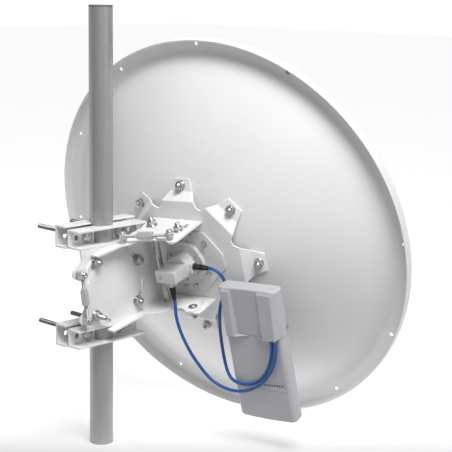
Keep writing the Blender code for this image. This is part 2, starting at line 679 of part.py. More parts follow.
def make_reflector():
    """One spun sheet: bowl, flat flange and a lip turned back, with twelve rim holes."""
    steps = 9
    profile = []
    for k in range(steps + 1):
        radius = FEED_OPENING + (BOWL_RADIUS - FEED_OPENING) * k / steps
        profile.append((radius, bowl_depth(radius)))
    edge = RIM_RADIUS - DISH_SHEET / 2.0
    profile += [(edge, 0.0), (edge, -LIP_DEPTH)]
    dish = turned("reflector", "x", profile[::-1], DISH_SIDES)
    wall = dish.modifiers.new("sheet", "SOLIDIFY")
    wall.thickness = DISH_SHEET
    wall.offset = 0.0
    wall.use_even_offset = True
    dish = evaluated_copy(dish, AXIS_TURNS["x"])
    bm = bmesh.new()
    for k in range(RIM_HOLES):
        angle = 2.0 * math.pi * k / RIM_HOLES
        spot = Matrix.Translation((0.0, RIM_HOLE_CIRCLE * math.sin(angle),
                                   RIM_HOLE_CIRCLE * math.cos(angle)))
        bmesh.ops.create_cone(bm, cap_ends=True, segments=10, radius1=RIM_HOLE_RADIUS,
                              radius2=RIM_HOLE_RADIUS, depth=6.0 * DISH_SHEET,
                              matrix=spot @ AXIS_TURNS["x"])
    holes = as_cutter(mesh_object("rim_hole_tool", bm), "rim_hole_tool")
    boolean(dish, holes)
    place(finish(dish, "reflector", "white"), DISH)
    holes.parent = dish


def make_hub_ring():
    """Sheet ring with eight tabs folded forward onto the dish: one open sheet made thick.

    Each tab is a plate corner, a slanted face to the second fold, and a pad along the dish.
    """
    middle = RING_PLANE + SHEET / 2.0
    pad_slope = 2.0 * BOWL_DEPTH * PAD_BOLT_CIRCLE / BOWL_RADIUS ** 2
    pad_rest = bowl_depth(PAD_BOLT_CIRCLE) - DISH_SHEET / 2.0 - GAP - SHEET / 2.0
    tilt_room = 0.25 * MM

    def pad_x(radius):
        return pad_rest - tilt_room + pad_slope * (radius - PAD_BOLT_CIRCLE)

    bm = bmesh.new()

    def vert(x, radial, across, turn):
        y = -(radial * math.sin(turn) + across * math.cos(turn))
        z = radial * math.cos(turn) - across * math.sin(turn)
        return bm.verts.new((x, y, z))

    step = 2.0 * math.pi / TABS
    fold_angle = math.atan2(TAB_FOLD_HALF, TAB_FOLD)
    sectors = []
    for k in range(TABS):
        turn = step * k
        inner = [vert(middle, RING_HOLE * math.cos(a), RING_HOLE * math.sin(a), turn)
                 for a in (-fold_angle, fold_angle)]
        fold = [vert(middle, TAB_FOLD, s * TAB_FOLD_HALF, turn) for s in (-1.0, 1.0)]
        start = [vert(pad_x(PAD_START), PAD_START, s * PAD_START_HALF, turn) for s in (-1.0, 1.0)]
        end = [vert(pad_x(PAD_END), PAD_END, s * PAD_END_HALF, turn) for s in (-1.0, 1.0)]
        for lower, upper in ((inner, fold), (fold, start), (start, end)):
            bm.faces.new((lower[0], lower[1], upper[1], upper[0]))
        notch = [vert(middle, RING_NOTCH * math.cos(step / 2.0 + d),
                      RING_NOTCH * math.sin(step / 2.0 + d), turn) for d in (-0.04, 0.04)]
        root = vert(middle, RING_HOLE * math.cos(step / 2.0), RING_HOLE * math.sin(step / 2.0),
                    turn)
        sectors.append((inner, fold, notch, root))
    for k in range(TABS):
        inner, fold, notch, root = sectors[k]
        next_inner, next_fold = sectors[(k + 1) % TABS][:2]
        bm.faces.new((inner[1], root, notch[0], fold[1]))
        bm.faces.new((root, notch[1], notch[0]))
        bm.faces.new((root, next_inner[0], next_fold[0], notch[1]))
    ring = mesh_object("hub_ring", bm)
    wall = ring.modifiers.new("sheet", "SOLIDIFY")
    wall.thickness = SHEET
    wall.offset = 0.0
    wall.use_even_offset = True
    place(finish(ring, "hub_ring", "white"), DISH)


def make_azimuth_plates():
    """Top and bottom plates that stand out behind the hub ring and turn about the pivot."""
    ring_face = RING_PLANE - GAP
    pivot = (-AXIS_BEHIND, AXIS_LEFT)
    outlines = {
        "top": [(-159.0, 51.0), (-184.0, 44.5), (-207.0, -26.0), (-212.0, -34.0),
                (-210.0, -42.0), (-202.0, -45.5)],
        "bottom": [(-168.0, 50.0), (-178.0, 38.0), (-178.0, -12.0), (-184.0, -30.0),
                   (-181.0, -42.0), (-174.0, -44.0)],
    }
    for name, corners in outlines.items():
        outline = [(ring_face, 53.0 * MM)] + [(x * MM, y * MM) for x, y in corners]
        outline.append((ring_face, -42.0 * MM))
        holes = [ring_hole(pivot, BOLT_HOLE),
                 curved_slot(pivot, LOCK_REACH, BOLT_HOLE, *AZ_SLOT)]
        if name == "top":
            holes.append(ring_hole(AZ_LINK_MOVING, PIN_HOLE))
        low = FLANGE_TOP + GAP if name == "top" else -FLANGE_TOP - GAP - SHEET
        plate = flat("plate", "xy", outline, low + DISH_DROP, low + DISH_DROP + SHEET, holes)
        place(finish(plate, "azimuth_plate_" + name, "white"), DISH)


def make_feed():
    """Feed plate, collar, housing with its block, ports, boots, and the tube in front."""
    rear = RING_PLANE - GAP
    half = [(42.0, 54.0), (48.0, 47.0), (73.0, 18.0), (73.0, -7.0), (21.0, -54.0)]
    outline = [(y * MM, z * MM) for y, z in half] + [(-y * MM, z * MM) for y, z in half[::-1]]
    plate_rear = rear - FEED_PLATE
    place(finish(flat("feed_plate", "yz", outline, plate_rear, rear), "feed_plate", "cast"), DISH)
    collar_rear = plate_rear - GAP - COLLAR_DEPTH
    collar = rod("feed_collar", "x", stepped((COLLAR_RADIUS, collar_rear, plate_rear - GAP)), 32)
    place(finish(collar, "feed_collar", "cast"), DISH)
    front = collar_rear - GAP
    housing = rod("feed_housing", "x", stepped((HOUSING_RADIUS, HOUSING_END, front)), 32)
    block = box("feed_block", (BLOCK_END, -BLOCK_HALF_WIDTH, -BLOCK_HALF_HEIGHT),
                (HOUSING_END + 10.0 * MM, BLOCK_HALF_WIDTH, BLOCK_HALF_HEIGHT))
    as_cutter(block, "feed_block")
    boolean(housing, block, "UNION")
    place(finish(housing, "feed_housing", "cast"), DISH)
    block.parent = housing
    side_seat = -HOUSING_RADIUS - GAP
    side = rod("side_port", "y", stepped((7.0 * MM, side_seat - 3.2 * MM, side_seat)), 20)
    place(finish(side, "side_port", "zinc"), DISH, (SIDE_PORT_X, 0.0, 0.0))
    down_seat = -BLOCK_HALF_HEIGHT - GAP
    down_sections = stepped((9.5 * MM, down_seat - 3.0 * MM, down_seat),
                            (6.5 * MM, down_seat - 10.0 * MM, down_seat - 3.0 * MM))
    down = rod("down_port", "z", down_sections, 20)
    place(finish(down, "down_port", "zinc"), DISH, (DOWN_PORT_X, 0.0, 0.0))
    tip = 3.2 * MM
    side_start = side_seat - 3.2 * MM - GAP
    boot = rod("side_boot", "y", [(0.0, side_start), (BOOT_RADIUS, side_start),
                                  (BOOT_RADIUS, side_start - 18.0 * MM),
                                  (tip, side_start - 27.5 * MM), (0.0, side_start - 27.5 * MM)], 16)
    place(finish(boot, "side_boot", "rubber"), DISH, (SIDE_PORT_X, 0.0, 0.0))
    down_start = down_seat - 10.0 * MM - GAP
    boot = rod("down_boot", "z", [(0.0, down_start), (BOOT_RADIUS + 0.8 * MM, down_start),
                                  (BOOT_RADIUS, down_start - 12.0 * MM),
                                  (tip, down_start - 23.5 * MM), (0.0, down_start - 23.5 * MM)], 16)
    place(finish(boot, "down_boot", "rubber"), DISH, (DOWN_PORT_X, 0.0, 0.0))
    tube = rod("feed_tube", "x", stepped((FEED_TUBE_RADIUS, rear + GAP, SPLASH_X)), 24)
    place(finish(tube, "feed_tube", "cast"), DISH)
    splash_profile = [(0.0, SPLASH_X + 16.0 * MM), (36.0 * MM, SPLASH_X + 16.0 * MM),
                      (SPLASH_RADIUS, SPLASH_X + 12.0 * MM), (SPLASH_RADIUS, SPLASH_X + 8.0 * MM),
                      (18.0 * MM, SPLASH_X + GAP), (0.0, SPLASH_X + GAP)]
    splash = rod("splash_plate", "x", splash_profile, 32)
    place(finish(splash, "splash_plate", "radio"), DISH)
    return side_start - 27.5 * MM, down_start - 23.5 * MM


def smooth_route(points, spacing):
    """Even points along a Catmull-Rom curve through a route's own points."""
    ends = [2 * points[0] - points[1]] + points + [2 * points[-1] - points[-2]]
    fine = []
    for k in range(1, len(ends) - 2):
        a, b, c, d = ends[k - 1:k + 3]
        for s in range(20):
            t = s / 20.0
            fine.append(0.5 * (2 * b + (c - a) * t + (2 * a - 5 * b + 4 * c - d) * t * t
                               + (3 * b - a - 3 * c + d) * t ** 3))
    fine.append(points[-1])
    total = sum((q - p).length for p, q in zip(fine, fine[1:]))
    count = max(2, round(total / spacing))
    even = [fine[0]]
    run = 0.0
    for p, q in zip(fine, fine[1:]):
        piece = (q - p).length
        while run + piece >= total * len(even) / count and len(even) < count:
            share = (total * len(even) / count - run) / piece
            even.append(p.lerp(q, share))
        run += piece
    even.append(fine[-1])
    return even


def make_cable(name, route):
    """A cable as a POLY curve with a round bevel and filled ends.

    Its first and last stretches are straight, so its ends lie flat on what it comes out of.
    """
    curve = bpy.data.curves.new(name, "CURVE")
    curve.dimensions = "3D"
    curve.bevel_depth = CABLE_RADIUS
    curve.bevel_resolution = 2
    curve.use_fill_caps = True
    spline = curve.splines.new("POLY")
    spots = [Vector(p) * MM for p in route]
    points = [spots[0], spots[0].lerp(spots[1], 0.5)]
    points += smooth_route(spots[1:-1], 4.5 * CABLE_RADIUS)
    points += [spots[-1].lerp(spots[-2], 0.5), spots[-1]]
    spline.points.add(len(points) - 1)
    for point, spot in zip(spline.points, points):
        point.co = (*spot, 1.0)
    item = bpy.data.objects.new(name, curve)
    bpy.context.scene.collection.objects.link(item)
    cable = evaluated_copy(item)
    cable.data.shade_smooth()
    place(finish(cable, name, "cable"), DISH)


def make_cables(side_end, down_end):
    """Two patch cables from the feed's boots round to the underside of the radio's hood."""
    side_y = side_end / MM - 0.3
    down_z = down_end / MM - 0.3
    hood = HOOD_BOTTOM / MM - 0.3
    side_x = SIDE_PORT_X / MM
    down_x = DOWN_PORT_X / MM
    make_cable("down_cable", [
        (down_x, 0.0, down_z), (down_x, 0.0, down_z - 5.0), (-184.5, -0.3, -58.0),
        (-187.0, -0.6, -74.0), (-187.0, -2.5, -95.0), (-186.0, -8.0, -120.0),
        (-184.0, -19.0, -150.0), (-183.0, -43.0, -184.0), (-183.0, -75.0, -198.0),
        (-183.0, -108.0, -195.5), (-182.8, -140.0, -179.0), (-182.3, -160.0, -157.0),
        (-180.5, -171.0, -137.0), (-178.0, -175.7, -118.0), (-176.0, -176.2, hood - 6.0),
        (-176.0, -176.2, hood)])
    make_cable("side_cable", [
        (side_x, side_y, 0.0), (side_x, side_y - 5.0, 0.0), (-145.5, -67.0, -4.5),
        (-143.0, -73.5, -14.0), (-141.0, -75.0, -28.0), (-142.0, -70.5, -44.0),
        (-144.5, -63.5, -60.0), (-147.0, -58.0, -80.0), (-150.0, -54.5, -115.0),
        (-155.0, -56.5, -148.0), (-162.5, -63.0, -168.0), (-171.0, -72.5, -178.0),
        (-176.3, -84.0, -184.0), (-177.0, -98.0, -187.0), (-176.2, -112.0, -186.8),
        (-175.8, -125.0, -182.5),
        (-175.6, -140.0, -171.5), (-175.6, -156.0, -149.0), (-175.8, -166.0, -123.0),
        (-176.0, -169.2, hood - 6.0), (-176.0, -169.2, hood)])


# Radio
def rounded_rectangle(low, high, radius):
    """Outline of a rectangle with round corners."""
    corners = (((high[0] - radius, high[1] - radius), 0.0),
               ((low[0] + radius, high[1] - radius), 90.0),
               ((low[0] + radius, low[1] + radius), 180.0),
               ((high[0] - radius, low[1] + radius), 270.0))
    points = []
    for centre, start in corners:
        points += arc(centre, radius, start, start + 90.0, 3)
    return points


def make_radio():
    """Radio case, its hood with two raised ribs, and the strap that carries it on the ring."""
    front = RADIO_REAR + RADIO_DEPTH
    low = (RADIO_REAR, RADIO_RIGHT)
    high = (front, RADIO_LEFT)
    case = flat("radio_case", "xy", rounded_rectangle(low, high, RADIO_CORNER),
                RADIO_BOTTOM, HOOD_BOTTOM - GAP)
    place(finish(case, "radio_case", "radio"), DISH)
    hood = flat("radio_hood", "xy", rounded_rectangle(low, high, RADIO_CORNER),
                HOOD_BOTTOM, RADIO_TOP)
    for number, (near, wide) in enumerate(((-84.0 * MM, 19.0 * MM), (-149.0 * MM, 33.0 * MM)), 1):
        rib = [(RADIO_REAR + RADIO_CORNER, near), (RADIO_REAR - RIB_PROUD, near - 3.0 * MM),
               (RADIO_REAR - RIB_PROUD, near - wide + 3.0 * MM),
               (RADIO_REAR + RADIO_CORNER, near - wide)]
        tool = as_cutter(flat(f"hood_rib_{number}", "xy", rib, HOOD_BOTTOM, RADIO_TOP - 1.0 * MM),
                         f"hood_rib_{number}")
        boolean(hood, tool, "UNION")
        tool.parent = hood
    place(finish(hood, "radio_hood", "radio"), DISH)
    face = RING_PLANE - GAP
    pad = front + GAP
    strap = [(face, STRAP_FOOT), (face, STRAP_BEND), (pad + SHEET, STRAP_BEND),
             (pad + SHEET, STRAP_PAD), (pad, STRAP_PAD), (pad, STRAP_BEND + SHEET),
             (face - SHEET, STRAP_BEND + SHEET), (face - SHEET, STRAP_FOOT)]
    strap_piece = flat("radio_strap", "xy", strap, STRAP_BOTTOM, STRAP_TOP)
    place(finish(strap_piece, "radio_strap", "white"), DISH)


make_pole()
make_clamp("upper", PIVOT_HEIGHT + CLAMP_OFFSET, False)
make_clamp("lower", PIVOT_HEIGHT - CLAMP_OFFSET, True)
make_bracket_plate()
make_lock_bolts()
make_elevation_bracket()
make_elevation_turnbuckle()
make_azimuth_bolts()
make_azimuth_turnbuckle()
make_reflector()
make_hub_ring()
make_azimuth_plates()
SIDE_CABLE_START, DOWN_CABLE_START = make_feed()
make_cables(SIDE_CABLE_START, DOWN_CABLE_START)
make_radio()
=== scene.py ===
import math

import bmesh
import bpy
import numpy as np
from mathutils import Matrix, Vector


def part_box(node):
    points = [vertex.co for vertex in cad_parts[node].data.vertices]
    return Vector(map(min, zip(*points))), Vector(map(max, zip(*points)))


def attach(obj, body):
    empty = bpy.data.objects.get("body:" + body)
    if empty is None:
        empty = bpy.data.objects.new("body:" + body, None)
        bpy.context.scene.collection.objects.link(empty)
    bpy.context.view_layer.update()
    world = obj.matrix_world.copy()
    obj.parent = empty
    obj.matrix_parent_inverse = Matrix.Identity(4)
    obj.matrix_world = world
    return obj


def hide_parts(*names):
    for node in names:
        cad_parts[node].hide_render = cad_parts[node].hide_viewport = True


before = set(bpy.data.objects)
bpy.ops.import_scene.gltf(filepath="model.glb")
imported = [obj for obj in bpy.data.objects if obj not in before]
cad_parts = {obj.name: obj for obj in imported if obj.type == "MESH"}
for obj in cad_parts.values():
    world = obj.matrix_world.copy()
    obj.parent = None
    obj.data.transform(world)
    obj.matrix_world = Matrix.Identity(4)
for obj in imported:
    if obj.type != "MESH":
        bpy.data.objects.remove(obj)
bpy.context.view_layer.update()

# Lengths are in millimetres until a mesh is made
MM = 0.001
TILT = math.radians(15.2)
TURN = math.radians(10.1)
GAP = 0.3
SHEET = 3.0
PIVOT_HEIGHT = 269.5
POLE_RADIUS = 19.0
POLE_HEIGHT = 707.0
M8 = 4.0
M8_PITCH = 1.25
NUT_CORNER = 7.5
# Places in their part's own frame: the link pins as (x, z) for elevation, (x, y) for azimuth
AZIMUTH_PIVOT = (86.5, -49.5, 0.0)
AZIMUTH_LOCK = (86.5, -109.5, 0.0)
DISH_DROP = 3.4
DISH_OFFSET = (159.0, -34.5, -DISH_DROP)
UPPER_PIN = (-75.0, 28.5)
LOWER_PIN = (-73.5, -28.0)
FIXED_PIN = (22.0, -51.0)
MOVING_PIN = (-202.5, -32.7)


# Frames: 4 x 4 arrays that carry a part's own millimetres to the model's
def shift(x, y, z):
    """Matrix that moves by (x, y, z)."""
    move = np.eye(4)
    move[:3, 3] = (x, y, z)
    return move


def about(axis, angle):
    """Matrix that turns about x, y or z."""
    return np.array(Matrix.Rotation(angle, 4, axis.upper()))


def upright(axis, sign=1.0):
    """Matrix that lays a part drawn along z along x or y, either way round."""
    turns = {"x": [[0, 0, 1], [1, 0, 0], [0, 1, 0]], "y": [[0, 1, 0], [0, 0, 1], [1, 0, 0]],
             "z": [[1, 0, 0], [0, 1, 0], [0, 0, 1]]}
    move = np.eye(4)
    move[:3, :3] = turns[axis]
    return move if sign > 0.0 else move @ about("x", math.pi)


def aimed(origin, direction, pin):
    """Matrix whose x runs along a direction and whose z is a pin's line."""
    x = np.asarray(direction, float) / np.linalg.norm(direction)
    z = np.asarray(pin, float) / np.linalg.norm(pin)
    move = np.eye(4)
    move[:3, 0] = x
    move[:3, 1] = np.cross(z, x)
    move[:3, 2] = z
    move[:3, 3] = origin
    return move


def carried(move, point):
    """A point of a frame, in the model's millimetres."""
    return (move @ np.array([*point, 1.0]))[:3]


HEAD = shift(0.0, 0.0, PIVOT_HEIGHT) @ about("y", -TILT)
SWING = HEAD @ shift(*AZIMUTH_PIVOT) @ about("z", TURN)
DISH = SWING @ shift(*DISH_OFFSET)


# Surfaces: an array of points and an array of four-sided faces
def skin(points, around=True):
    """Faces over a grid of points: each row joins the next, and a row closes on itself."""
    rows, columns = points.shape[:2]
    row = np.arange(rows - 1)[:, None]
    column = np.arange(columns if around else columns - 1)[None, :]
    beside = (column + 1) % columns
    faces = np.stack([row * columns + column, row * columns + beside,
                      (row + 1) * columns + beside, (row + 1) * columns + column], -1)
    return points.reshape(-1, 3), faces.reshape(-1, 4)


def placed(surface, move):
    """A surface carried by a matrix."""
    points, faces = surface
    return points @ move[:3, :3].T + move[:3, 3], faces


def turned(profile, sides=40):
    """Turned part: each (height, radius) of the profile goes round a circle about z."""
    line = np.array(profile, float)
    angle = np.arange(sides) * 2.0 * math.pi / sides
    points = np.stack([line[:, 1:] * np.cos(angle), line[:, 1:] * np.sin(angle),
                       line[:, :1] + 0.0 * angle], -1)
    return skin(points)


def hexagonal(low, high, corner=NUT_CORNER, hollow=0.0):
    """Nut or bolt head: radius is the smaller of a hexagon's and of a cone's at each end.

    The hexagon's radius is flat / cos(angle from the flat's middle); the cone starts just
    inside the flats and rises at 30 degrees.
    """
    sides = 72
    half_flat = math.pi / 6.0
    flat = corner * math.cos(half_flat)
    angle = np.arange(sides) * 2.0 * math.pi / sides
    side = flat / np.cos((angle % (2.0 * half_flat)) - half_flat)
    start = 0.95 * flat
    rise = (corner - start) * math.tan(math.radians(30.0))
    steps = np.linspace(0.0, 1.0, 5)
    height = np.concatenate([low + rise * steps, high - rise * steps[::-1]])
    cone = start + np.concatenate([steps, steps[::-1]]) * (corner - start)
    radius = np.minimum(side[None, :], cone[:, None])
    inner = np.full((1, sides), hollow)
    radius = np.concatenate([inner, radius, inner])
    height = np.concatenate([[low], height, [high]])
    if hollow > 0.0:
        radius = np.concatenate([radius, inner])
        height = np.concatenate([height, [low]])
    return skin(np.stack([radius * np.cos(angle), radius * np.sin(angle),
                          height[:, None] + 0.0 * radius], -1))


def threaded(low, high, radius=M8, pitch=M8_PITCH, sides=16):
    """Threaded rod: the radius falls and rises once a pitch, and the wave turns with the angle.

    radius(height, angle) = crest - depth * triangle(height / pitch - angle / turn), and both
    ends run out in a cone.
    """
    depth, run_out_depth, rows_a_pitch = 0.58 * pitch, 0.9 * pitch, 6.0
    rows = max(8, int((high - low) / pitch * rows_a_pitch))
    height = np.linspace(low, high, rows)[:, None]
    angle = (np.arange(sides) * 2.0 * math.pi / sides)[None, :]
    wave = np.abs(((height / pitch - angle / (2.0 * math.pi)) % 1.0) * 2.0 - 1.0)
    crest = radius - depth * wave
    run_out = np.minimum(height - low, high - height)
    crest = np.minimum(crest, radius - run_out_depth + run_out)
    zero = np.zeros((1, sides))
    crest = np.concatenate([zero, crest, zero])
    height = np.concatenate([[[low]], height, [[high]]])
    return skin(np.stack([crest * np.cos(angle), crest * np.sin(angle), height + 0.0 * crest], -1))


def washer(low, high, outer=8.2, inner=4.3):
    """Flat ring with softened outer edges."""
    soft = 0.25
    return turned([(low, inner), (low, outer - soft), (low + soft, outer),
                   (high - soft, outer), (high, outer - soft), (high, inner), (low, inner)], 36)


def dome(low, high, radius):
    """Round head: half an ellipse turned about z, with its flat side at low."""
    arc = np.linspace(0.0, math.pi / 2.0, 12)
    profile = [(low, 0.0), (low, radius * 0.97)]
    profile += [(low + (high - low) * (0.1 + 0.9 * math.sin(a)), radius * math.cos(a)) for a in arc]
    return turned(profile, 40)


def rounded_block(low, high, radius):
    """Box with round edges: a small sphere's points moved out to the box's eight corners.

    point = sign * (half size - radius) + radius * direction, with every quarter of the
    sphere sampled on its own, so that flat faces open between them.
    """
    steps = 5
    low, high = np.array(low, float), np.array(high, float)
    half = (high - low) / 2.0 - radius
    part = np.linspace(0.0, math.pi / 2.0, steps)
    angle = np.concatenate([part + k * math.pi / 2.0 for k in range(4)])[None, :]
    side_x = np.repeat([1.0, -1.0, -1.0, 1.0], steps)[None, :]
    side_y = np.repeat([1.0, 1.0, -1.0, -1.0], steps)[None, :]
    rise = np.concatenate([part - math.pi / 2.0, part])[:, None]
    side_z = np.repeat([-1.0, 1.0], steps)[:, None]
    points = np.stack([side_x * half[0] + radius * np.cos(rise) * np.cos(angle),
                       side_y * half[1] + radius * np.cos(rise) * np.sin(angle),
                       side_z * half[2] + radius * np.sin(rise) + 0.0 * angle], -1)
    ends = np.zeros((1, points.shape[1], 3))
    bottom, top = ends.copy(), ends.copy()
    bottom[..., 2] = -half[2] - radius
    top[..., 2] = half[2] + radius
    points = np.concatenate([bottom, points, top]) + (low + high) / 2.0
    return skin(points)


def bent(corners, radii):
    """Line through corners, each rounded by a curve that starts a radius before it."""
    steps = 7
    spots = [np.array(c, float) for c in corners]
    line = [spots[0]]
    for before, here, after, radius in zip(spots, spots[1:], spots[2:], radii):
        start = here + (before - here) / np.linalg.norm(before - here) * radius
        end = here + (after - here) / np.linalg.norm(after - here) * radius
        for t in np.linspace(0.0, 1.0, steps):
            line.append((1 - t) ** 2 * start + 2 * t * (1 - t) * here + t ** 2 * end)
    line.append(spots[-1])
    return np.array(line)


# Shader maths
class Wire:
    """A socket of a finish, on which plain arithmetic adds Math nodes."""

    def __init__(self, finish, socket):
        self.finish = finish
        self.socket = socket

    def maths(self, operation, first, second):
        """Add one Math node."""
        return self.finish.node("ShaderNodeMath", {"operation": operation},
                                {0: first, 1: second})

    def __add__(self, other):
        return self.maths("ADD", self, other)

    def __rsub__(self, other):
        return self.maths("SUBTRACT", other, self)

    def __mul__(self, other):
        return self.maths("MULTIPLY", self, other)

    __radd__ = __add__


class Finish:
    """A material under construction: one principled shader and the nodes that feed it."""

    def __init__(self, name, **constants):
        self.material = bpy.data.materials.new(name)
        self.material.use_nodes = True
        self.tree = self.material.node_tree
        self.shader = self.tree.nodes["Principled BSDF"]
        for socket, value in constants.items():
            self.shader.inputs[socket.replace("_", " ")].default_value = value
        self.object = self.node("ShaderNodeTexCoord", {}, {}, "Object")

    def node(self, kind, settings, values, output=0):
        """Add any node: its settings first, then its sockets' values or links."""
        made = self.tree.nodes.new(kind)
        for key, value in settings.items():
            if key == "stops":
                ramp = made.color_ramp
                for element, (place, shade) in zip((ramp.elements[0], ramp.elements[1]), value):
                    element.position = place
                    element.color = (shade, shade, shade, 1.0)
            else:
                setattr(made, key, value)
        for key, value in values.items():
            if isinstance(value, Wire):
                self.tree.links.new(value.socket, made.inputs[key])
            else:
                made.inputs[key].default_value = value
        return Wire(self, made.outputs[output])

    def feed(self, **wires):
        """Link wires to the shader's own sockets."""
        for socket, wire in wires.items():
            self.tree.links.new(wire.socket, self.shader.inputs[socket.replace("_", " ")])
        return self

    def stretched(self, x, y, z):
        """Object coordinates, stretched along the axes."""
        return self.node("ShaderNodeMapping", {}, {"Vector": self.object, "Scale": (x, y, z)})

    def noise(self, scale, detail=2.0, roughness=0.5, place=None):
        """Smooth random field between about 0.3 and 0.7."""
        return self.node("ShaderNodeTexNoise", {},
                         {"Vector": place or self.object, "Scale": scale, "Detail": detail,
                          "Roughness": roughness}, "Fac")

    def band(self, wire, low, high):
        """Ramp from 0 at low to 1 at high."""
        return self.node("ShaderNodeValToRGB", {"stops": ((low, 0.0), (high, 1.0))}, {0: wire})

    def tint(self, amount, first, second):
        """Colour between two, by an amount."""
        return self.node("ShaderNodeMix", {"data_type": "RGBA"},
                         {0: amount, 6: (*first, 1.0), 7: (*second, 1.0)}, 2)

    def bumped(self, height, depth, strength):
        """Normal of a height field that is depth metres deep."""
        return self.node("ShaderNodeBump", {},
                         {"Height": height, "Distance": depth, "Strength": strength})


def powder_coat(name, light, dark, roughness):
    """Powder-coated steel: faint clouding, fine orange peel and a few dust-dull patches."""
    coat = Finish(name, Specular_IOR_Level=0.5)
    cloud = coat.band(coat.noise(7.0, 4.0), 0.35, 0.7)
    dust = coat.band(coat.noise(55.0, 5.0, 0.6), 0.55, 0.78)
    grain = coat.noise(2600.0, 1.0)
    peel = coat.noise(520.0, 2.0)
    return coat.feed(
        Base_Color=coat.tint(cloud * 0.7 + dust * 0.3, light, dark),
        Roughness=roughness + peel * 0.10 + dust * 0.12,
        Normal=coat.bumped(peel * 0.8 + grain * 0.2, 0.00022, 0.55)).material


def drawn_steel(name):
    """Galvanised tube: streaks along its length, clouding, and fine scratches round it."""
    steel = Finish(name, Specular_IOR_Level=0.5)
    streak = steel.noise(420.0, 4.0, 0.6, steel.stretched(1.0, 1.0, 0.006))
    cloud = steel.noise(26.0, 4.0, 0.6, steel.stretched(1.0, 1.0, 0.3))
    scratch = steel.band(steel.noise(900.0, 2.0, 0.5, steel.stretched(0.3, 0.3, 1.6)), 0.62, 0.72)
    return steel.feed(
        Base_Color=steel.tint(streak * 0.6 + cloud * 0.4, (0.33, 0.33, 0.332), (0.52, 0.52, 0.523)),
        Metallic=0.62 + streak * 0.2,
        Roughness=0.30 + streak * 0.22 + scratch * 0.1,
        Normal=steel.bumped(streak * 0.7 + scratch * 0.3, 0.00012, 0.4)).material


def zinc_plate(name, light=(0.62, 0.62, 0.61), dull=(0.36, 0.355, 0.34), metal=0.97, rough=0.19):
    """Zinc on fasteners and turnbuckles: mottled, a little yellowed, dull in patches."""
    zinc = Finish(name, Specular_IOR_Level=0.5)
    mottle = zinc.noise(160.0, 4.0, 0.6)
    stain = zinc.band(zinc.noise(48.0, 3.0), 0.45, 0.68)
    grain = zinc.noise(1500.0, 2.0)
    return zinc.feed(
        Base_Color=zinc.tint(mottle * 0.5 + stain * 0.5, light, dull),
        Metallic=metal - stain * 0.15,
        Roughness=rough + mottle * 0.18 + stain * 0.12,
        Normal=zinc.bumped(grain, 0.00006, 0.5)).material


def rod_steel(name):
    """Oiled steel of the long threaded rods: darker than the zinc, and duller in patches."""
    steel = Finish(name, Specular_IOR_Level=0.5)
    patch = steel.noise(90.0, 4.0, 0.6)
    grain = steel.noise(1400.0, 2.0)
    return steel.feed(
        Base_Color=steel.tint(patch, (0.17, 0.17, 0.17), (0.30, 0.295, 0.29)),
        Metallic=0.80 + patch * 0.2,
        Roughness=0.30 + patch * 0.22,
        Normal=steel.bumped(grain, 0.00006, 0.5)).material


def cast_paint(name):
    """Painted casting of the feed: sandy skin and slight clouding."""
    cast = Finish(name, Specular_IOR_Level=0.45)
    sand = cast.noise(1300.0, 3.0, 0.6)
    cloud = cast.band(cast.noise(24.0, 4.0), 0.35, 0.7)
    return cast.feed(
        Base_Color=cast.tint(cloud, (0.70, 0.70, 0.69), (0.58, 0.58, 0.575)),
        Roughness=0.42 + sand * 0.2,
        Normal=cast.bumped(sand, 0.00018, 0.5)).material


def moulded_plastic(name, light, dark, roughness):
    """Moulded housing: even colour with a fine spark-eroded grain."""
    plastic = Finish(name, Specular_IOR_Level=0.5)
    grain = plastic.noise(1900.0, 2.0, 0.6)
    cloud = plastic.band(plastic.noise(12.0, 3.0), 0.3, 0.75)
    return plastic.feed(
        Base_Color=plastic.tint(cloud * 0.6 + grain * 0.4, light, dark),
        Roughness=roughness + grain * 0.14,
        Normal=plastic.bumped(grain, 0.00010, 0.5)).material


def soft_rubber(name):
    """Black rubber: nearly black, with a dusty bloom."""
    rubber = Finish(name, Specular_IOR_Level=0.35)
    bloom = rubber.band(rubber.noise(130.0, 4.0), 0.45, 0.75)
    return rubber.feed(
        Base_Color=rubber.tint(bloom, (0.014, 0.014, 0.015), (0.040, 0.040, 0.042)),
        Roughness=0.48 + bloom * 0.2,
        Normal=rubber.bumped(rubber.noise(1700.0, 2.0), 0.00008, 0.5)).material


def cable_jacket(name):
    """Blue patch cable: semi-gloss jacket with faint lengthwise clouding."""
    jacket = Finish(name, Specular_IOR_Level=0.5)
    cloud = jacket.noise(60.0, 3.0)
    grain = jacket.noise(1400.0, 2.0)
    return jacket.feed(
        Base_Color=jacket.tint(cloud, (0.012, 0.072, 0.27), (0.022, 0.110, 0.36)),
        Roughness=0.34 + cloud * 0.14,
        Normal=jacket.bumped(grain, 0.00005, 0.4)).material


def indicator_glass(name):
    """Dark smoked windows over the radio's lamps."""
    glass = Finish(name, Specular_IOR_Level=0.5)
    smoke = glass.noise(900.0, 2.0)
    return glass.feed(Base_Color=glass.tint(smoke, (0.010, 0.011, 0.013), (0.03, 0.03, 0.034)),
                      Roughness=0.14 + smoke * 0.1).material


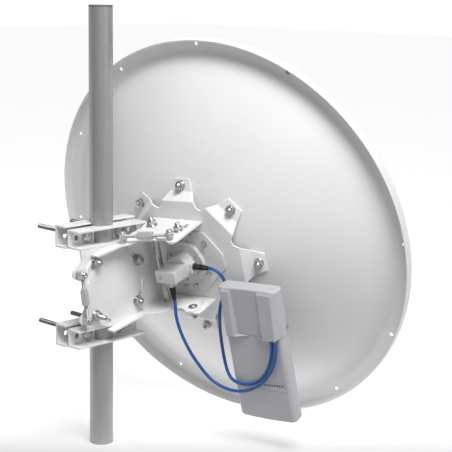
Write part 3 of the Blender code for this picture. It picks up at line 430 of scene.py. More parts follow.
WHITE = powder_coat("white_powder_coat", (0.80, 0.80, 0.795), (0.74, 0.74, 0.735), 0.36)
DISH_WHITE = powder_coat("dish_powder_coat", (0.80, 0.80, 0.80), (0.755, 0.755, 0.755), 0.30)
POLE = drawn_steel("drawn_tube_steel")
STEEL = rod_steel("threaded_rod_steel")
ZINC = zinc_plate("bright_zinc")
SATIN = zinc_plate("satin_zinc", (0.66, 0.66, 0.65), (0.50, 0.50, 0.49), 0.62, 0.38)
CAST = cast_paint("feed_casting_paint")
PLASTIC = moulded_plastic("warm_grey_plastic", (0.50, 0.50, 0.53), (0.445, 0.445, 0.475), 0.40)
DARK_PLASTIC = moulded_plastic("cap_plastic", (0.16, 0.16, 0.165), (0.11, 0.11, 0.115), 0.45)
RUBBER = soft_rubber("boot_rubber")
BLUE = cable_jacket("blue_cable_jacket")
LAMP = indicator_glass("indicator_windows")


# Pieces
def whole(surface):
    """A surface as a closed mesh: doubled points merged and every face turned outwards."""
    points, faces = surface
    mesh = bpy.data.meshes.new("whole")
    mesh.from_pydata((points * MM).tolist(), [], faces.tolist())
    bm = bmesh.new()
    bm.from_mesh(mesh)
    bmesh.ops.remove_doubles(bm, verts=bm.verts[:], dist=1e-6)
    bmesh.ops.dissolve_degenerate(bm, edges=bm.edges[:], dist=1e-7)
    bmesh.ops.recalc_face_normals(bm, faces=bm.faces[:])
    bm.to_mesh(mesh)
    bm.free()
    return mesh


def seated(parts, seat, paint):
    """Surfaces carried by a matrix, each with its material."""
    return [(placed(s, seat), paint) for s in parts]


def linked(name, mesh):
    """An object at the origin for a mesh."""
    item = bpy.data.objects.new(name, mesh)
    bpy.context.scene.collection.objects.link(item)
    return item


def smooth(mesh, angle):
    """Shade a mesh smooth, with the edges sharp that turn by more than an angle."""
    mesh.shade_smooth()
    mesh.set_sharp_from_angle(angle=math.radians(angle))


def declared(item, body, nodes):
    """Ride a finished piece on its body and the nodes it stands for."""
    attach(item, body)
    if nodes:
        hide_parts(*nodes)
    return item


def piece(name, body, parts, nodes=(), angle=38.0):
    """One piece from several surfaces, each with its own material."""
    bm = bmesh.new()
    paints = []
    for surface, paint in parts:
        if paint not in paints:
            paints.append(paint)
        part = whole(surface)
        part.polygons.foreach_set("material_index", [paints.index(paint)] * len(part.polygons))
        bm.from_mesh(part)
        bpy.data.meshes.remove(part)
    mesh = bpy.data.meshes.new(name)
    bm.to_mesh(mesh)
    bm.free()
    for paint in paints:
        mesh.materials.append(paint)
    smooth(mesh, angle)
    return declared(linked(name, mesh), body, nodes)


def cut(item, tools):
    """Take tools out of a piece and keep only the result."""
    for tool in tools:
        job = item.modifiers.new("cut", "BOOLEAN")
        job.operation = "DIFFERENCE"
        job.solver = "EXACT"
        job.object = tool
    bpy.context.view_layer.update()
    graph = bpy.context.evaluated_depsgraph_get()
    mesh = bpy.data.meshes.new_from_object(item.evaluated_get(graph))
    item.modifiers.clear()
    item.data = mesh
    for tool in tools:
        bpy.data.objects.remove(tool, do_unlink=True)


def bevelled(name, node, body, paint, width, angle=24.0):
    """A CAD node's copy with whole faces and rounded edges, which stands in for the node."""
    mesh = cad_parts[node].data.copy()
    mesh.name = name
    bm = bmesh.new()
    bm.from_mesh(mesh)
    flatness = math.radians(0.6)
    bmesh.ops.remove_doubles(bm, verts=bm.verts[:], dist=2e-6)
    bmesh.ops.dissolve_limit(bm, angle_limit=flatness, verts=bm.verts[:], edges=bm.edges[:])
    bm.to_mesh(mesh)
    bm.free()
    mesh.materials.clear()
    mesh.materials.append(paint)
    mesh.polygons.foreach_set("material_index", [0] * len(mesh.polygons))
    mesh.shade_smooth()
    item = linked(name, mesh)
    edge = item.modifiers.new("rounded_edges", "BEVEL")
    edge.width = width * MM
    edge.segments = 3
    edge.limit_method = "ANGLE"
    edge.angle_limit = math.radians(angle)
    edge.use_clamp_overlap = True
    edge.harden_normals = True
    declared(item, body, [node])


# Camera, light and floor, in metres
AMBIENT = 0.25
BACKDROP = 1.05
VIEW_WAY = (0.728, 0.686, 0.0)
LIT_SPOT = (0.10, -0.05, 0.36)
CAMERA_PLACE = (-1.3685, -1.5627, 0.7551)
CAMERA_RIGHT = (0.6876, -0.7259, 0.0157)
CAMERA_FORWARD = (0.7153, 0.6736, -0.1860)


def make_camera():
    """The photograph's view: a camera behind the dish and to its left."""
    data = bpy.data.cameras.new("camera")
    data.lens = 104.89
    data.clip_start = 0.05
    camera = bpy.data.objects.new("camera", data)
    right = Vector(CAMERA_RIGHT).normalized()
    forward = Vector(CAMERA_FORWARD)
    forward = (forward - right * forward.dot(right)).normalized()
    turn = Matrix((right, right.cross(forward), -forward)).transposed().to_4x4()
    camera.matrix_world = Matrix.Translation(CAMERA_PLACE) @ turn
    bpy.context.scene.collection.objects.link(camera)
    bpy.context.scene.camera = camera


def area_light(name, toward, distance, size, power):
    """A rectangular soft box that looks at the dish from a direction."""
    data = bpy.data.lights.new(name, "AREA")
    data.shape = "RECTANGLE"
    data.size, data.size_y = size
    data.energy = power
    light = bpy.data.objects.new(name, data)
    way = Vector(toward).normalized()
    light.location = Vector(LIT_SPOT) + way * distance
    light.rotation_euler = (-way).to_track_quat("-Z", "Y").to_euler()
    bpy.context.scene.collection.objects.link(light)


def make_room():
    """Soft grey surroundings that are white behind the dish, a pale floor and soft boxes."""
    world = bpy.data.worlds.new("studio")
    world.use_nodes = True
    tree = world.node_tree
    way = tree.nodes.new("ShaderNodeTexCoord")
    facing = tree.nodes.new("ShaderNodeVectorMath")
    facing.operation = "DOT_PRODUCT"
    facing.inputs[1].default_value = VIEW_WAY
    glow = tree.nodes.new("ShaderNodeMapRange")
    glow.interpolation_type = "SMOOTHSTEP"
    for socket, value in (("From Min", 0.70), ("From Max", 0.92), ("To Min", AMBIENT),
                          ("To Max", BACKDROP)):
        glow.inputs[socket].default_value = value
    tree.links.new(way.outputs["Generated"], facing.inputs[0])
    tree.links.new(facing.outputs["Value"], glow.inputs["Value"])
    backdrop = tree.nodes["Background"]
    backdrop.inputs["Color"].default_value = (1.0, 1.0, 1.0, 1.0)
    tree.links.new(glow.outputs["Result"], backdrop.inputs["Strength"])
    bpy.context.scene.world = world
    bpy.context.scene.view_settings.view_transform = "Standard"
    area_light("key", (-0.28, -0.50, 0.82), 2.6, (1.3, 1.3), 80.0)
    area_light("strip", (0.22, -0.97, 0.05), 2.4, (0.16, 1.9), 4.0)
    half, level = 14.0, -0.0006
    mesh = bpy.data.meshes.new("floor")
    mesh.from_pydata([(-half, -half, level), (half, -half, level), (half, half, level),
                      (-half, half, level)], [], [(0, 1, 2, 3)])
    floor = linked("floor", mesh)
    paper = Finish("pale_floor", Roughness=0.9, Emission_Strength=1.0)
    behind = paper.node("ShaderNodeVectorMath", {"operation": "DOT_PRODUCT"},
                        {0: paper.object, 1: VIEW_WAY}, "Value")
    glow = paper.band(behind * 0.5 + 0.5, 0.42, 0.56)
    paper.feed(Base_Color=paper.tint(paper.noise(3.0), (0.40, 0.40, 0.40), (0.44, 0.44, 0.44)),
               Emission_Color=paper.tint(glow, (0.02, 0.02, 0.02), (0.80, 0.80, 0.80)))
    mesh.materials.append(paper.material)


# Cables: the routes of the source, in the dish's millimetres
CABLE_RADIUS = 2.7
CABLE_KNOTS = 38
HOOD_BOTTOM = -97.0
SIDE_PORT_X = -146.0
DOWN_PORT_X = -182.0
DOWN_ROUTE = [
    (-182.0, 0.0, -44.4), (-182.0, 0.0, -49.4), (-184.5, -0.3, -58.0),
    (-187.0, -0.6, -74.0), (-187.0, -2.5, -95.0), (-186.0, -8.0, -120.0),
    (-184.0, -19.0, -150.0), (-183.0, -43.0, -184.0), (-183.0, -75.0, -198.0),
    (-183.0, -108.0, -195.5), (-182.8, -140.0, -179.0), (-182.3, -160.0, -157.0),
    (-180.5, -171.0, -137.0), (-178.0, -175.7, -118.0), (-176.0, -176.2, -103.3),
    (-176.0, -176.2, -97.3)]
SIDE_ROUTE = [
    (-146.0, -52.6, 0.0), (-146.0, -57.6, 0.0), (-145.5, -67.0, -4.5),
    (-143.0, -73.5, -14.0), (-141.0, -75.0, -28.0), (-142.0, -70.5, -44.0),
    (-144.5, -63.5, -60.0), (-147.0, -58.0, -80.0), (-150.0, -54.5, -115.0),
    (-155.0, -56.5, -148.0), (-162.5, -63.0, -168.0), (-171.0, -72.5, -178.0),
    (-176.3, -84.0, -184.0), (-177.0, -98.0, -187.0), (-176.2, -112.0, -186.8),
    (-175.8, -125.0, -182.5), (-175.6, -140.0, -171.5), (-175.6, -156.0, -149.0),
    (-175.8, -166.0, -123.0), (-176.0, -169.2, -103.3), (-176.0, -169.2, -97.3)]


def eased(route, count):
    """Even points along a Catmull-Rom curve through a route's own points."""
    spots = np.array(route, float)
    ends = np.concatenate([[2 * spots[0] - spots[1]], spots, [2 * spots[-1] - spots[-2]]])
    t = (np.arange(40) / 40.0)[None, :, None]
    a, b, c, d = (ends[k:len(ends) - 3 + k][:, None, :] for k in range(4))
    fine = 0.5 * (2 * b + (c - a) * t + (2 * a - 5 * b + 4 * c - d) * t ** 2
                  + (3 * b - a - 3 * c + d) * t ** 3)
    fine = np.concatenate([fine.reshape(-1, 3), spots[-1:]])
    run = np.concatenate([[0.0], np.cumsum(np.linalg.norm(np.diff(fine, axis=0), axis=1))])
    even = np.linspace(0.0, run[-1], count)
    return np.stack([np.interp(even, run, fine[:, k]) for k in range(3)], -1)


def make_cable(name, node, route):
    """A patch cable as one open smooth curve."""
    points = eased(route, CABLE_KNOTS) @ DISH[:3, :3].T + DISH[:3, 3]
    curve = bpy.data.curves.new(name, "CURVE")
    curve.dimensions = "3D"
    curve.bevel_depth = CABLE_RADIUS * MM
    curve.bevel_resolution = 5
    curve.resolution_u = 6
    curve.render_resolution_u = 6
    curve.use_fill_caps = True
    spline = curve.splines.new("BEZIER")
    spline.bezier_points.add(len(points) - 1)
    for knot, spot in zip(spline.bezier_points, points * MM):
        knot.co = spot
        knot.handle_left_type = "AUTO"
        knot.handle_right_type = "AUTO"
    curve.materials.append(BLUE)
    cable = bpy.data.objects.new(name, curve)
    bpy.context.scene.collection.objects.link(cable)
    declared(cable, "antenna", [node])
    tuple(points[0] * MM)


# Mount
CLAMP_RISE = 79.6
CLAMP_REACH = 34.0
LOCK_CIRCLE = 59.0
LOCK_ANGLES = (35.0, 133.0, 227.0, 325.0)
LONG_STUD = 3


def make_pole():
    """Tube with softened cut ends, a web inside its foot, and the cap in its top."""
    inner = POLE_RADIUS - 3.0
    soft = 0.5
    tube = turned([(0.0, inner + soft), (0.0, POLE_RADIUS - soft), (soft, POLE_RADIUS),
                   (POLE_HEIGHT - soft, POLE_RADIUS), (POLE_HEIGHT, POLE_RADIUS - soft),
                   (POLE_HEIGHT, inner + soft), (POLE_HEIGHT - soft, inner), (soft, inner),
                   (0.0, inner + soft)], 96)
    web = turned([(0.4, 0.0), (0.4, inner + 0.2), (3.0, inner + 0.2), (3.0, 0.0)], 96)
    piece("mast_tube", "mount", [(tube, POLE), (web, POLE)], ["mast_pole"])
    low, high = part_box("pole_plug")
    low_z, high_z = low.z / MM, high.z / MM
    radius = (high.x - low.x) / 2.0 / MM
    arc = np.linspace(0.0, math.pi / 2.0, 6)
    soft, lip = 0.8, POLE_HEIGHT + GAP
    profile = [(low_z, 0.0), (low_z, inner - GAP), (lip, inner - GAP), (lip, radius)]
    profile += [(high_z - soft + soft * math.sin(a), radius - soft + soft * math.cos(a))
                for a in arc]
    profile += [(high_z - 0.3, radius * 0.55), (high_z - 0.3, 0.0)]
    piece("mast_cap", "mount", [(turned(profile, 64), DARK_PLASTIC)], ["pole_plug"])


def make_clamps():
    """Four folded channels with rounded edges, and four long bolts with dome heads."""
    for level, height in (("upper", PIVOT_HEIGHT + CLAMP_RISE),
                          ("lower", PIVOT_HEIGHT - CLAMP_RISE)):
        for side in ("front", "rear"):
            node = f"{side}_channel_{level}"
            bevelled(node + "_folded", node, "mount", WHITE, 0.8)
        for side, x in (("left", -CLAMP_REACH), ("right", CLAMP_REACH)):
            node = f"clamp_bolt_{level}_{side}"
            head = placed(dome(5.6, 10.6, 10.0), upright("y", -1.0))
            neck = rounded_block((-4.4, -5.6, -4.4), (4.4, 1.0, 4.4), 0.4)
            shank = placed(threaded(-5.0, 115.0), upright("y"))
            ring = placed(washer(25.2, 26.8), upright("y"))
            nut = placed(hexagonal(26.8, 31.8), upright("y") @ about("z", 0.35))
            place = shift(x, 0.0, height)
            parts = [(placed(s, place), STEEL if s is shank else ZINC)
                     for s in (head, neck, shank, ring, nut)]
            piece(node + "_detail", "mount", parts, [node])


def make_bracket():
    """Bracket plate, the slotted elevation bracket and their four lock bolts."""
    bevelled("bracket_plate_edged", "bracket_plate", "mount", WHITE, 0.6)
    bevelled("elevation_bracket_folded", "elevation_bracket", "elevation_head", WHITE,
             0.6)
    for number, angle in enumerate(LOCK_ANGLES, 1):
        node = f"elevation_lock_bolt_{number}"
        x = LOCK_CIRCLE * math.cos(math.radians(angle))
        z = PIVOT_HEIGHT + LOCK_CIRCLE * math.sin(math.radians(angle))
        out = shift(x, 0.0, z) @ upright("y")
        tip = -57.0 if number == LONG_STUD else -46.5
        parts = [threaded(tip, -22.0), hexagonal(-26.7, -21.7),
                 washer(-35.2, -33.6, 9.2), washer(-36.4, -35.2, 7.2), hexagonal(-42.4, -36.4)]
        turns = [0.0, 0.2, 0.0, 0.0, 0.3 + 0.5 * number]
        parts = [(placed(s, out @ about("z", turn)), ZINC) for s, turn in zip(parts, turns)]
        piece(node + "_detail", "mount", parts, [node])


def pin_parts(profile_low, profile_high, washer_low, washer_high, tail_low, tail_high):
    """Turnbuckle pin along z: its shank, the spacer under the eye, and both headed ends."""
    thin, wide, soft = 3.0, 5.0, 0.5
    top, socket = profile_high + 3.0, profile_high + 2.5
    shank = turned([(profile_low, 0.0), (profile_low, thin), (profile_high, thin),
                    (profile_high, 0.0)], 24)
    head = turned([(profile_high, 0.0), (profile_high, wide), (top - soft, wide),
                   (top, wide - soft), (top, 1.6), (socket, 1.2), (socket, 0.0)], 32)
    spacer = turned([(washer_low, 0.0), (washer_low, wide), (washer_high, wide),
                     (washer_high, 0.0)], 32)
    tail = hexagonal(tail_low, tail_high, 5.2)
    return [shank, head, spacer, tail]


def link_parts(length, with_sleeve):
    """Half a turnbuckle along x from its pin: eye drum, threaded rod, and the hexagonal body."""
    bore, rod, pitch, body_length, eye_edge = 3.5, 3.0, 1.0, 22.0, 4.6
    eye = turned([(-5.0, bore), (-5.0, 5.4), (-4.5, 5.9), (4.5, 5.9), (5.0, 5.4), (5.0, bore),
                  (-5.0, bore)], 40)
    start = (length - body_length) / 2.0
    along = upright("x")
    if not with_sleeve:
        end = length - start - body_length + 3.5
        return [eye, placed(threaded(eye_edge, end, rod, pitch), along)]
    flat_nut = placed(hexagonal(start - 4.6, start - 0.3, 5.6), along)
    body = placed(hexagonal(start, start + body_length, 6.6, 4.2), along)
    floor = placed(turned([(start + 0.4, 0.0), (start + 0.4, 4.6), (start + 2.0, 4.6),
                           (start + 2.0, 0.0)], 24), along)
    return [eye, placed(threaded(eye_edge, start + 1.0, rod, pitch), along), flat_nut, body,
            floor]


def make_turnbuckles():
    """Both turnbuckles, each as two halves, and their four pins."""
    height, depth = 78.4, -41.0
    upper_pin = np.array((UPPER_PIN[0], depth, PIVOT_HEIGHT + UPPER_PIN[1]))
    lower_pin = carried(HEAD, (LOWER_PIN[0], depth, LOWER_PIN[1]))
    fixed_pin = carried(HEAD, (*FIXED_PIN, height))
    moving_pin = carried(DISH, (*MOVING_PIN, height + DISH_DROP))
    up = HEAD[:3, 2]
    for label, first, second, pin, bodies in (
            ("elevation_link", upper_pin, lower_pin, (0.0, -1.0, 0.0),
             ("elevation_sleeve", "elevation_rod")),
            ("azimuth_link", fixed_pin, moving_pin, up, ("azimuth_sleeve", "azimuth_rod"))):
        length = float(np.linalg.norm(second - first))
        for half, start, way, body in (("sleeve", first, second - first, bodies[0]),
                                       ("rod", second, first - second, bodies[1])):
            node = f"{label}_{half}"
            seat = aimed(start, way, pin)
            piece(node + "_detail", body,
                  seated(link_parts(length, half == "sleeve"), seat, SATIN), [node])
    out = upright("y", -1.0)
    for node, body, seat, plate_face, back in (
            ("elevation_link_pin_upper", "mount",
             shift(UPPER_PIN[0], 0.0, PIVOT_HEIGHT + UPPER_PIN[1]), 30.3, 26.7),
            ("elevation_link_pin_lower", "elevation_head",
             HEAD @ shift(LOWER_PIN[0], 0.0, LOWER_PIN[1]), 33.6, 30.0)):
        parts = pin_parts(back, 46.3, plate_face, 35.7, back - 4.0, back)
        piece(node + "_detail", body, seated(parts, seat @ out, ZINC), [node])
    for node, body, seat, face in (
            ("azimuth_link_pin_fixed", "elevation_head", HEAD @ shift(*FIXED_PIN, 0.0), 67.0),
            ("azimuth_link_pin_moving", "antenna", DISH @ shift(*MOVING_PIN, DISH_DROP), 70.3)):
        parts = pin_parts(face - 3.3, height + 5.3, face + GAP, height - 5.3, face - 7.3,
                          face - 3.3)
        piece(node + "_detail", body, seated(parts, seat, ZINC), [node])


def make_azimuth_fasteners():
    """Pivot bolt with its spacer tube, and the two lock bolts of the azimuth slots."""
    seat = HEAD @ shift(*AZIMUTH_PIVOT)
    outer, inner = 70.6, 63.7
    spacer = turned([(-inner, 0.0), (-inner, 5.5), (inner, 5.5), (inner, 0.0)], 40)
    parts = [spacer, threaded(outer - 1.0, 84.5), threaded(-81.0, 1.0 - outer),
             washer(outer, outer + 1.5, 9.4), washer(outer + 1.5, outer + 2.9, 7.2),
             hexagonal(outer + 2.9, outer + 8.4), washer(-outer - 1.5, -outer, 8.6),
             hexagonal(-outer - 7.0, -outer - 1.5)]
    piece("azimuth_pivot_detail", "elevation_head",
          seated(parts, seat @ about("z", 0.4), ZINC), ["azimuth_pivot"])
    ring = turned([(62.2, 4.6), (62.0, 6.8), (62.4, 7.4), (inner, 7.6), (inner, 4.6),
                   (62.2, 4.6)], 40)
    for label, way in (("top", 0.0), ("bottom", math.pi)):
        seat = HEAD @ shift(*AZIMUTH_LOCK) @ about("x", way)
        parts = [threaded(60.9, 84.0), washer(outer, outer + 1.5, 8.2),
                 hexagonal(outer + 1.5, outer + 7.5)]
        parts += [ring] if label == "bottom" else [washer(62.4, inner, 7.6),
                                                   hexagonal(57.2, 62.4)]
        piece(f"azimuth_lock_bolt_{label}_detail", "elevation_head",
              seated(parts, seat @ about("z", 0.2), ZINC), [f"azimuth_lock_bolt_{label}"])
        bevelled(f"azimuth_plate_{label}_edged", f"azimuth_plate_{label}", "antenna",
                 WHITE, 0.6)


# Dish
BOWL_RADIUS = 314.5
BOWL_DEPTH = 124.5
DISH_SHEET = 1.6
FEED_OPENING = 30.0
PAD_CIRCLE = 125.0
TABS = 8
FLANGE_RADIUS = 339.2
LIP = -19.5
RIM_CIRCLE = 328.6
RIM_HOLES = 12
RIM_HOLE = [(-5.0, 0.0), (-5.0, 3.4), (5.0, 3.4), (5.0, 0.0)]


def bowl(radius):
    """Paraboloid: how far the bowl lies behind the flange at a radius."""
    return -BOWL_DEPTH * (1.0 - (radius / BOWL_RADIUS) ** 2)


def make_reflector():
    """Spun sheet: paraboloid, a flat flange and a lip, with bend radii, turned about the axis.

    The middle line of the sheet is moved half a thickness to either side along its normal.
    """
    radius = np.linspace(FEED_OPENING, BOWL_RADIUS - 7.0, 46)
    dish = np.stack([bowl(radius), radius], -1)
    edge = bent([dish[-1], (bowl(BOWL_RADIUS), BOWL_RADIUS), (0.0, FLANGE_RADIUS),
                 (LIP, FLANGE_RADIUS)], (5.5, 4.2))
    line = np.concatenate([dish, edge[1:]])
    along = np.gradient(line, axis=0)
    along /= np.linalg.norm(along, axis=1)[:, None]
    side = np.stack([-along[:, 1], along[:, 0]], -1) * DISH_SHEET / 2.0
    rim = np.concatenate([line + side, (line - side)[::-1], (line + side)[:1]])
    shell = placed(turned(rim, 240), DISH @ upright("x"))
    mesh = whole(shell)
    mesh.name = "reflector_shell"
    mesh.materials.append(DISH_WHITE)
    item = linked("reflector_shell", mesh)
    tools = []
    for k in range(RIM_HOLES):
        angle = 2.0 * math.pi * k / RIM_HOLES
        spot = shift(0.0, RIM_CIRCLE * math.sin(angle), RIM_CIRCLE * math.cos(angle))
        tool = placed(turned(RIM_HOLE, 24), DISH @ spot @ upright("x"))
        tools.append(linked(f"rim_hole_{k}", whole(tool)))
    cut(item, tools)
    smooth(item.data, 38.0)
    declared(item, "antenna", ["reflector"])


def make_hub():
    """Ring with eight folded tabs, and the bolt that holds each tab to the dish."""
    bevelled("hub_ring_folded", "hub_ring", "antenna", WHITE, 1.1, 12.0)
    slope = 2.0 * BOWL_DEPTH * PAD_CIRCLE / BOWL_RADIUS ** 2
    lean = math.atan(slope)
    pad_middle = bowl(PAD_CIRCLE) - DISH_SHEET / 2.0 - GAP - SHEET / 2.0 - 0.25
    for k in range(TABS):
        turn = about("x", k * 2.0 * math.pi / TABS)
        seat = DISH @ turn @ shift(pad_middle, 0.0, PAD_CIRCLE) @ about("y", lean)
        seat = seat @ upright("x", -1.0) @ about("z", 0.7 * k)
        parts = [washer(1.6, 3.0, 8.0), washer(3.0, 4.2, 6.9), hexagonal(4.2, 9.6),
                 threaded(-4.5, 14.2), placed(dome(4.0, 7.2, 6.8), about("x", math.pi))]
        piece(f"tab_bolt_{k + 1}", "antenna", seated(parts, seat, ZINC))


FEED_PLATE_REAR = -127.3
COLLAR_REAR = -138.6
BLOCK_REAR = -195.0
PLATE_SCREWS = ((40, 36), (-40, 36), (40, -17), (-40, -17), (13, 48), (-13, 48), (9, -41),
                (-9, -41))


def make_feed():
    """Feed plate, collar, housing with its block, ports, boots, front tube and splash plate."""
    away = upright("x", -1.0)
    back = DISH @ away
    bevelled("feed_plate_edged", "feed_plate", "antenna", CAST, 0.6)
    screws = []
    for y, z in PLATE_SCREWS:
        seat = DISH @ shift(FEED_PLATE_REAR, y, z) @ away @ about("z", 0.3 * y)
        screws += seated([washer(3.0, 4.0, 5.0, 2.2), hexagonal(4.0, 7.2, 4.2),
                          threaded(2.5, 9.6, 2.2, 0.8)], seat, ZINC)
    piece("feed_plate_screws", "antenna", screws)
    collar = turned([(130.6, 0.0), (130.6, 36.4), (131.0, 37.0), (137.6, 37.0), (138.6, 36.0),
                     (138.6, 0.0)], 96)
    parts = [(placed(collar, back), CAST)]
    for k in range(6):
        angle = math.radians(30.0 + 60.0 * k)
        seat = DISH @ shift(COLLAR_REAR, 28.5 * math.cos(angle), 28.5 * math.sin(angle)) @ away
        screw = turned([(-0.2, 0.0), (-0.2, 3.0), (1.3, 3.0), (1.9, 2.3), (1.9, 1.3),
                        (1.0, 1.1), (1.0, 0.0)], 24)
        parts.append((placed(screw, seat), ZINC))
    piece("feed_collar_detail", "antenna", parts, ["feed_collar"])
    barrel = turned([(138.9, 0.0), (138.9, 22.4), (139.9, 22.4), (141.4, 21.0), (158.8, 21.0),
                     (160.0, 19.8), (160.0, 0.0)], 96)
    block = rounded_block((BLOCK_REAR, -19.0, -10.0), (-150.0, 19.0, 10.0), 1.1)
    flat = rounded_block((-155.0, -24.0, -8.0), (-141.0, -14.0, 8.0), 0.8)
    socket = turned([(-0.3, 0.0), (-0.3, 2.6), (1.2, 2.6), (1.6, 2.1), (1.6, 1.2), (0.7, 1.1),
                     (0.7, 0.0)], 24)
    parts = seated([barrel], back, CAST) + seated([block, flat], DISH, CAST)
    parts += seated([socket], DISH @ shift(BLOCK_REAR, 9.0, 0.0) @ away, ZINC)
    piece("feed_housing_detail", "antenna", parts, ["feed_housing"])
    side = DISH @ shift(SIDE_PORT_X, 0.0, 0.0) @ upright("y", -1.0)
    ring = turned([(21.3, 0.0), (21.3, 7.0), (22.4, 7.0), (22.9, 6.4), (23.4, 7.0), (24.5, 6.6),
                   (24.5, 0.0)], 40)
    piece("side_port_detail", "antenna", seated([ring], side, ZINC), ["side_port"])
    down = DISH @ shift(DOWN_PORT_X, 0.0, 0.0) @ upright("z", -1.0)
    disc = turned([(10.3, 0.0), (10.3, 9.5), (12.7, 9.5), (13.3, 8.9), (13.3, 0.0)], 48)
    nut = hexagonal(13.3, 20.3, 7.2)
    piece("down_port_detail", "antenna", seated([disc, nut], down, ZINC), ["down_port"])
    for name, seat, low, wide, straight, length in (
            ("side_boot", side, 24.8, 4.8, 18.0, 27.5),
            ("down_boot", down, 20.6, 5.6, 12.0, 23.5)):
        run = np.linspace(0.0, length, 90)
        body = np.interp(run, (0.0, 0.5, straight, length), (wide - 0.5, wide, 4.8, 3.2))
        rings = np.clip(np.sin((run - straight) * 2.0 * math.pi / 2.6), 0.0, 1.0)
        rings *= (run > straight) & (run < length - 1.0)
        collar_ring = 0.35 * np.exp(-((run - 3.0) / 0.7) ** 2)
        radius = body - 0.55 * rings - collar_ring
        profile = [(low, 0.0), *zip(low + run, radius), (low + length, 0.0)]
        piece(name + "_ribbed", "antenna", seated([turned(profile, 32)], seat, RUBBER),
              [name])
    tube = turned([(-127.0, 0.0), (-127.0, 15.0), (52.0, 15.0), (53.5, 16.2), (61.0, 16.2),
                   (62.0, 15.2), (62.0, 0.0)], 64)
    piece("feed_tube_detail", "antenna", seated([tube], DISH @ upright("x"), CAST),
          ["feed_tube"])
    run = np.linspace(0.0, 1.0, 16)
    splash = [(62.3, 0.0), (62.3, 15.5)]
    splash += [(62.6 + 8.2 * t ** 1.4, 18.0 + 23.4 * t) for t in run]
    splash += [(71.6, 42.0), (73.4, 42.0)]
    splash += [(74.0 + 4.0 * math.sin(a), 8.0 + 34.0 * math.cos(a))
               for a in np.linspace(0.05, math.pi / 2.0, 14)]
    splash += [(78.0, 0.0)]
    piece("splash_plate_detail", "antenna",
          seated([turned(splash, 72)], DISH @ upright("x"), PLASTIC), ["splash_plate"])


# Radio, in the dish's own millimetres
REAR, FRONT = -172.0, -144.0
LEFT, RIGHT = -79.6, -187.2
TOP, BOTTOM = -16.5, -251.5
SOFT = 9.5
SEAM = -195.2
RIBS = ((-84.0, 17.0, 5.0), (-151.0, 27.0, 6.0))
RIB_HEIGHT = 7.0
WINDOWS = 9
BACK_POINTS = 120


def outline():
    """Points round a rectangle with round corners, dense enough for ribs across its back.

    Returned as (x, y) and, for each point, the outward normal, so a section can be moved in.
    """
    half_x, half_y = (FRONT - REAR) / 2.0, (LEFT - RIGHT) / 2.0
    middle = np.array(((FRONT + REAR) / 2.0, (LEFT + RIGHT) / 2.0))
    core = np.array((half_x - SOFT, half_y - SOFT))
    spots, normals = [], []
    for (sx, sy), start in (((1, 1), 0.0), ((-1, 1), 90.0), ((-1, -1), 180.0), ((1, -1), 270.0)):
        angle = np.radians(start + np.linspace(0.0, 90.0, 12))
        way = np.stack([np.cos(angle), np.sin(angle)], -1)
        spots.append(middle + core * (sx, sy) + way * SOFT)
        normals.append(way)
        if start == 90.0:
            across = np.linspace(0.0, 1.0, BACK_POINTS)[1:-1, None]
            a = middle + core * (-1, 1) + np.array((-SOFT, 0.0))
            b = middle + core * (-1, -1) + np.array((-SOFT, 0.0))
            spots.append(a + (b - a) * across)
            normals.append(np.tile((-1.0, 0.0), (BACK_POINTS - 2, 1)))
    return np.concatenate(spots), np.concatenate(normals)


def lofted(levels, inset, swell=None, bow=None):
    """Stack the radio's outline: at each level it moves in by inset, and out where it swells."""
    spots, normals = outline()
    rows = []
    for level, move in zip(levels, inset):
        row = spots - normals * move
        if swell is not None:
            row = row - np.stack([swell(row[:, 1], level), 0.0 * row[:, 1]], -1)
        height = np.full(len(row), level)
        if bow is not None:
            height = height + bow(row[:, 1], level)
        rows.append(np.concatenate([row, height[:, None]], -1))
    points = np.stack(rows)
    low = np.repeat(points[:1].mean(1, keepdims=True), points.shape[1], 1)
    high = np.repeat(points[-1:].mean(1, keepdims=True), points.shape[1], 1)
    return skin(np.concatenate([low, points, high]))


def edge_levels(low, high, low_soft, high_soft):
    """Levels and insets of a stack whose two ends are rounded by quarter circles."""
    part = np.linspace(0.0, math.pi / 2.0, 9)
    levels = np.concatenate([low + low_soft * (1 - np.cos(part)),
                             high - high_soft * (1 - np.cos(part[::-1]))])
    inset = np.concatenate([low_soft * (1 - np.sin(part)), high_soft * (1 - np.sin(part[::-1]))])
    return levels, inset


def crowned(across):
    """Arch across the radio: 1 at its middle, 0 just past its sides."""
    return 1.0 - ((across - (LEFT + RIGHT) / 2.0) / 54.0) ** 2


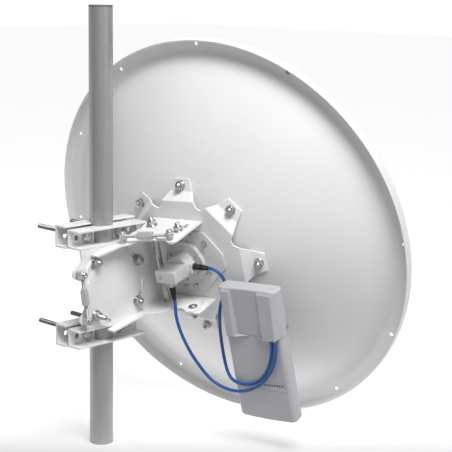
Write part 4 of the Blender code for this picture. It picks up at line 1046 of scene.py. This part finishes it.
def make_radio():
    """Case with its seam, windows and recess; hood with two ribs that fade upwards; strap."""
    levels, inset = edge_levels(BOTTOM, HOOD_BOTTOM - GAP, 6.0, 0.4)
    extra = np.array([SEAM - 0.55, SEAM - 0.3, SEAM + 0.3, SEAM + 0.55])
    order = np.argsort(np.concatenate([levels, extra]), kind="stable")
    levels = np.concatenate([levels, extra])[order]
    inset = np.concatenate([inset, [0.0, 0.4, 0.4, 0.0]])[order] + 0.6

    def bottom_bow(across, level):
        """The case's lower end hangs lower in its middle."""
        fall = np.clip((-200.0 - level) / 50.0, 0.0, 1.0)
        return -2.4 * fall * crowned(across)

    case = piece("radio_case_shell", "antenna",
                 seated([lofted(levels, inset, None, bottom_bow)], DISH, PLASTIC),
                 ["radio_case"])
    case.parent = None
    recess = rounded_block((REAR - 4.0, -181.0, -192.4), (REAR + 1.15, -128.5, -178.6), 0.5)
    cut(case, [linked("recess_tool", whole(placed(recess, DISH)))])
    smooth(case.data, 30.0)
    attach(case, "antenna")
    windows = []
    for k in range(WINDOWS):
        part = k / (WINDOWS - 1.0)
        y, z = -134.3 - 37.5 * part, -186.8 + 1.9 * part
        windows.append(rounded_block((REAR + 0.85, y - 1.2, z - 1.7),
                                     (REAR + 2.2, y + 1.2, z + 1.7), 0.25))
    piece("indicator_row", "antenna", seated(windows, DISH, LAMP))

    levels, inset = edge_levels(HOOD_BOTTOM, TOP, 0.35, 2.4)
    middle = np.linspace(HOOD_BOTTOM + 2.0, TOP - 3.4, 26)
    inset = np.concatenate([inset[:9], np.zeros(26), inset[9:]])
    levels = np.concatenate([levels[:9], middle, levels[9:]])

    def ribs(across, level):
        """How far the ribs stand out of the hood's back: less and less towards its top."""
        grow = np.clip((TOP - 3.0 - level) / (TOP - 3.0 - HOOD_BOTTOM), 0.0, 1.0)
        total = 0.0 * across
        for near, wide, spread in RIBS:
            rise = np.clip((near - across) / 3.5, 0.0, 1.0)
            fall = np.clip((across - (near - wide - spread)) / spread, 0.0, 1.0)
            total = np.maximum(total, np.minimum(rise, fall))
        return RIB_HEIGHT * (0.35 + 0.65 * grow) * np.clip(grow * 30.0, 0.0, 1.0) * total

    def hem(across, level):
        """The hood's lower edge hangs a little lower under its ribs, and its top is crowned."""
        low = np.clip((HOOD_BOTTOM + 14.0 - level) / 14.0, 0.0, 1.0)
        high = np.clip((level - TOP + 12.0) / 12.0, 0.0, 1.0)
        return -0.45 * low * ribs(across, HOOD_BOTTOM) + 1.6 * high * (crowned(across) - 1.0)

    piece("radio_hood_shell", "antenna",
          seated([lofted(levels, inset, ribs, hem)], DISH, PLASTIC), ["radio_hood"], 34.0)
    clip = DISH @ shift(-151.0, RIGHT, -84.0) @ upright("y", -1.0)
    screw = turned([(-1.0, 0.0), (-1.0, 4.4), (1.0, 4.4), (1.6, 3.8), (1.6, 3.0), (2.8, 3.0),
                    (3.4, 2.4), (3.4, 0.0)], 32)
    piece("hood_clip_screw", "antenna", seated([screw], clip, ZINC))
    bevelled("radio_strap_folded", "radio_strap", "antenna", WHITE, 0.6)


make_camera()
make_cable("down_cable_run", "down_cable", DOWN_ROUTE)
make_cable("side_cable_run", "side_cable", SIDE_ROUTE)
make_room()
make_pole()
make_clamps()
make_bracket()
make_turnbuckles()
make_azimuth_fasteners()
make_reflector()
make_hub()
make_feed()
make_radio()
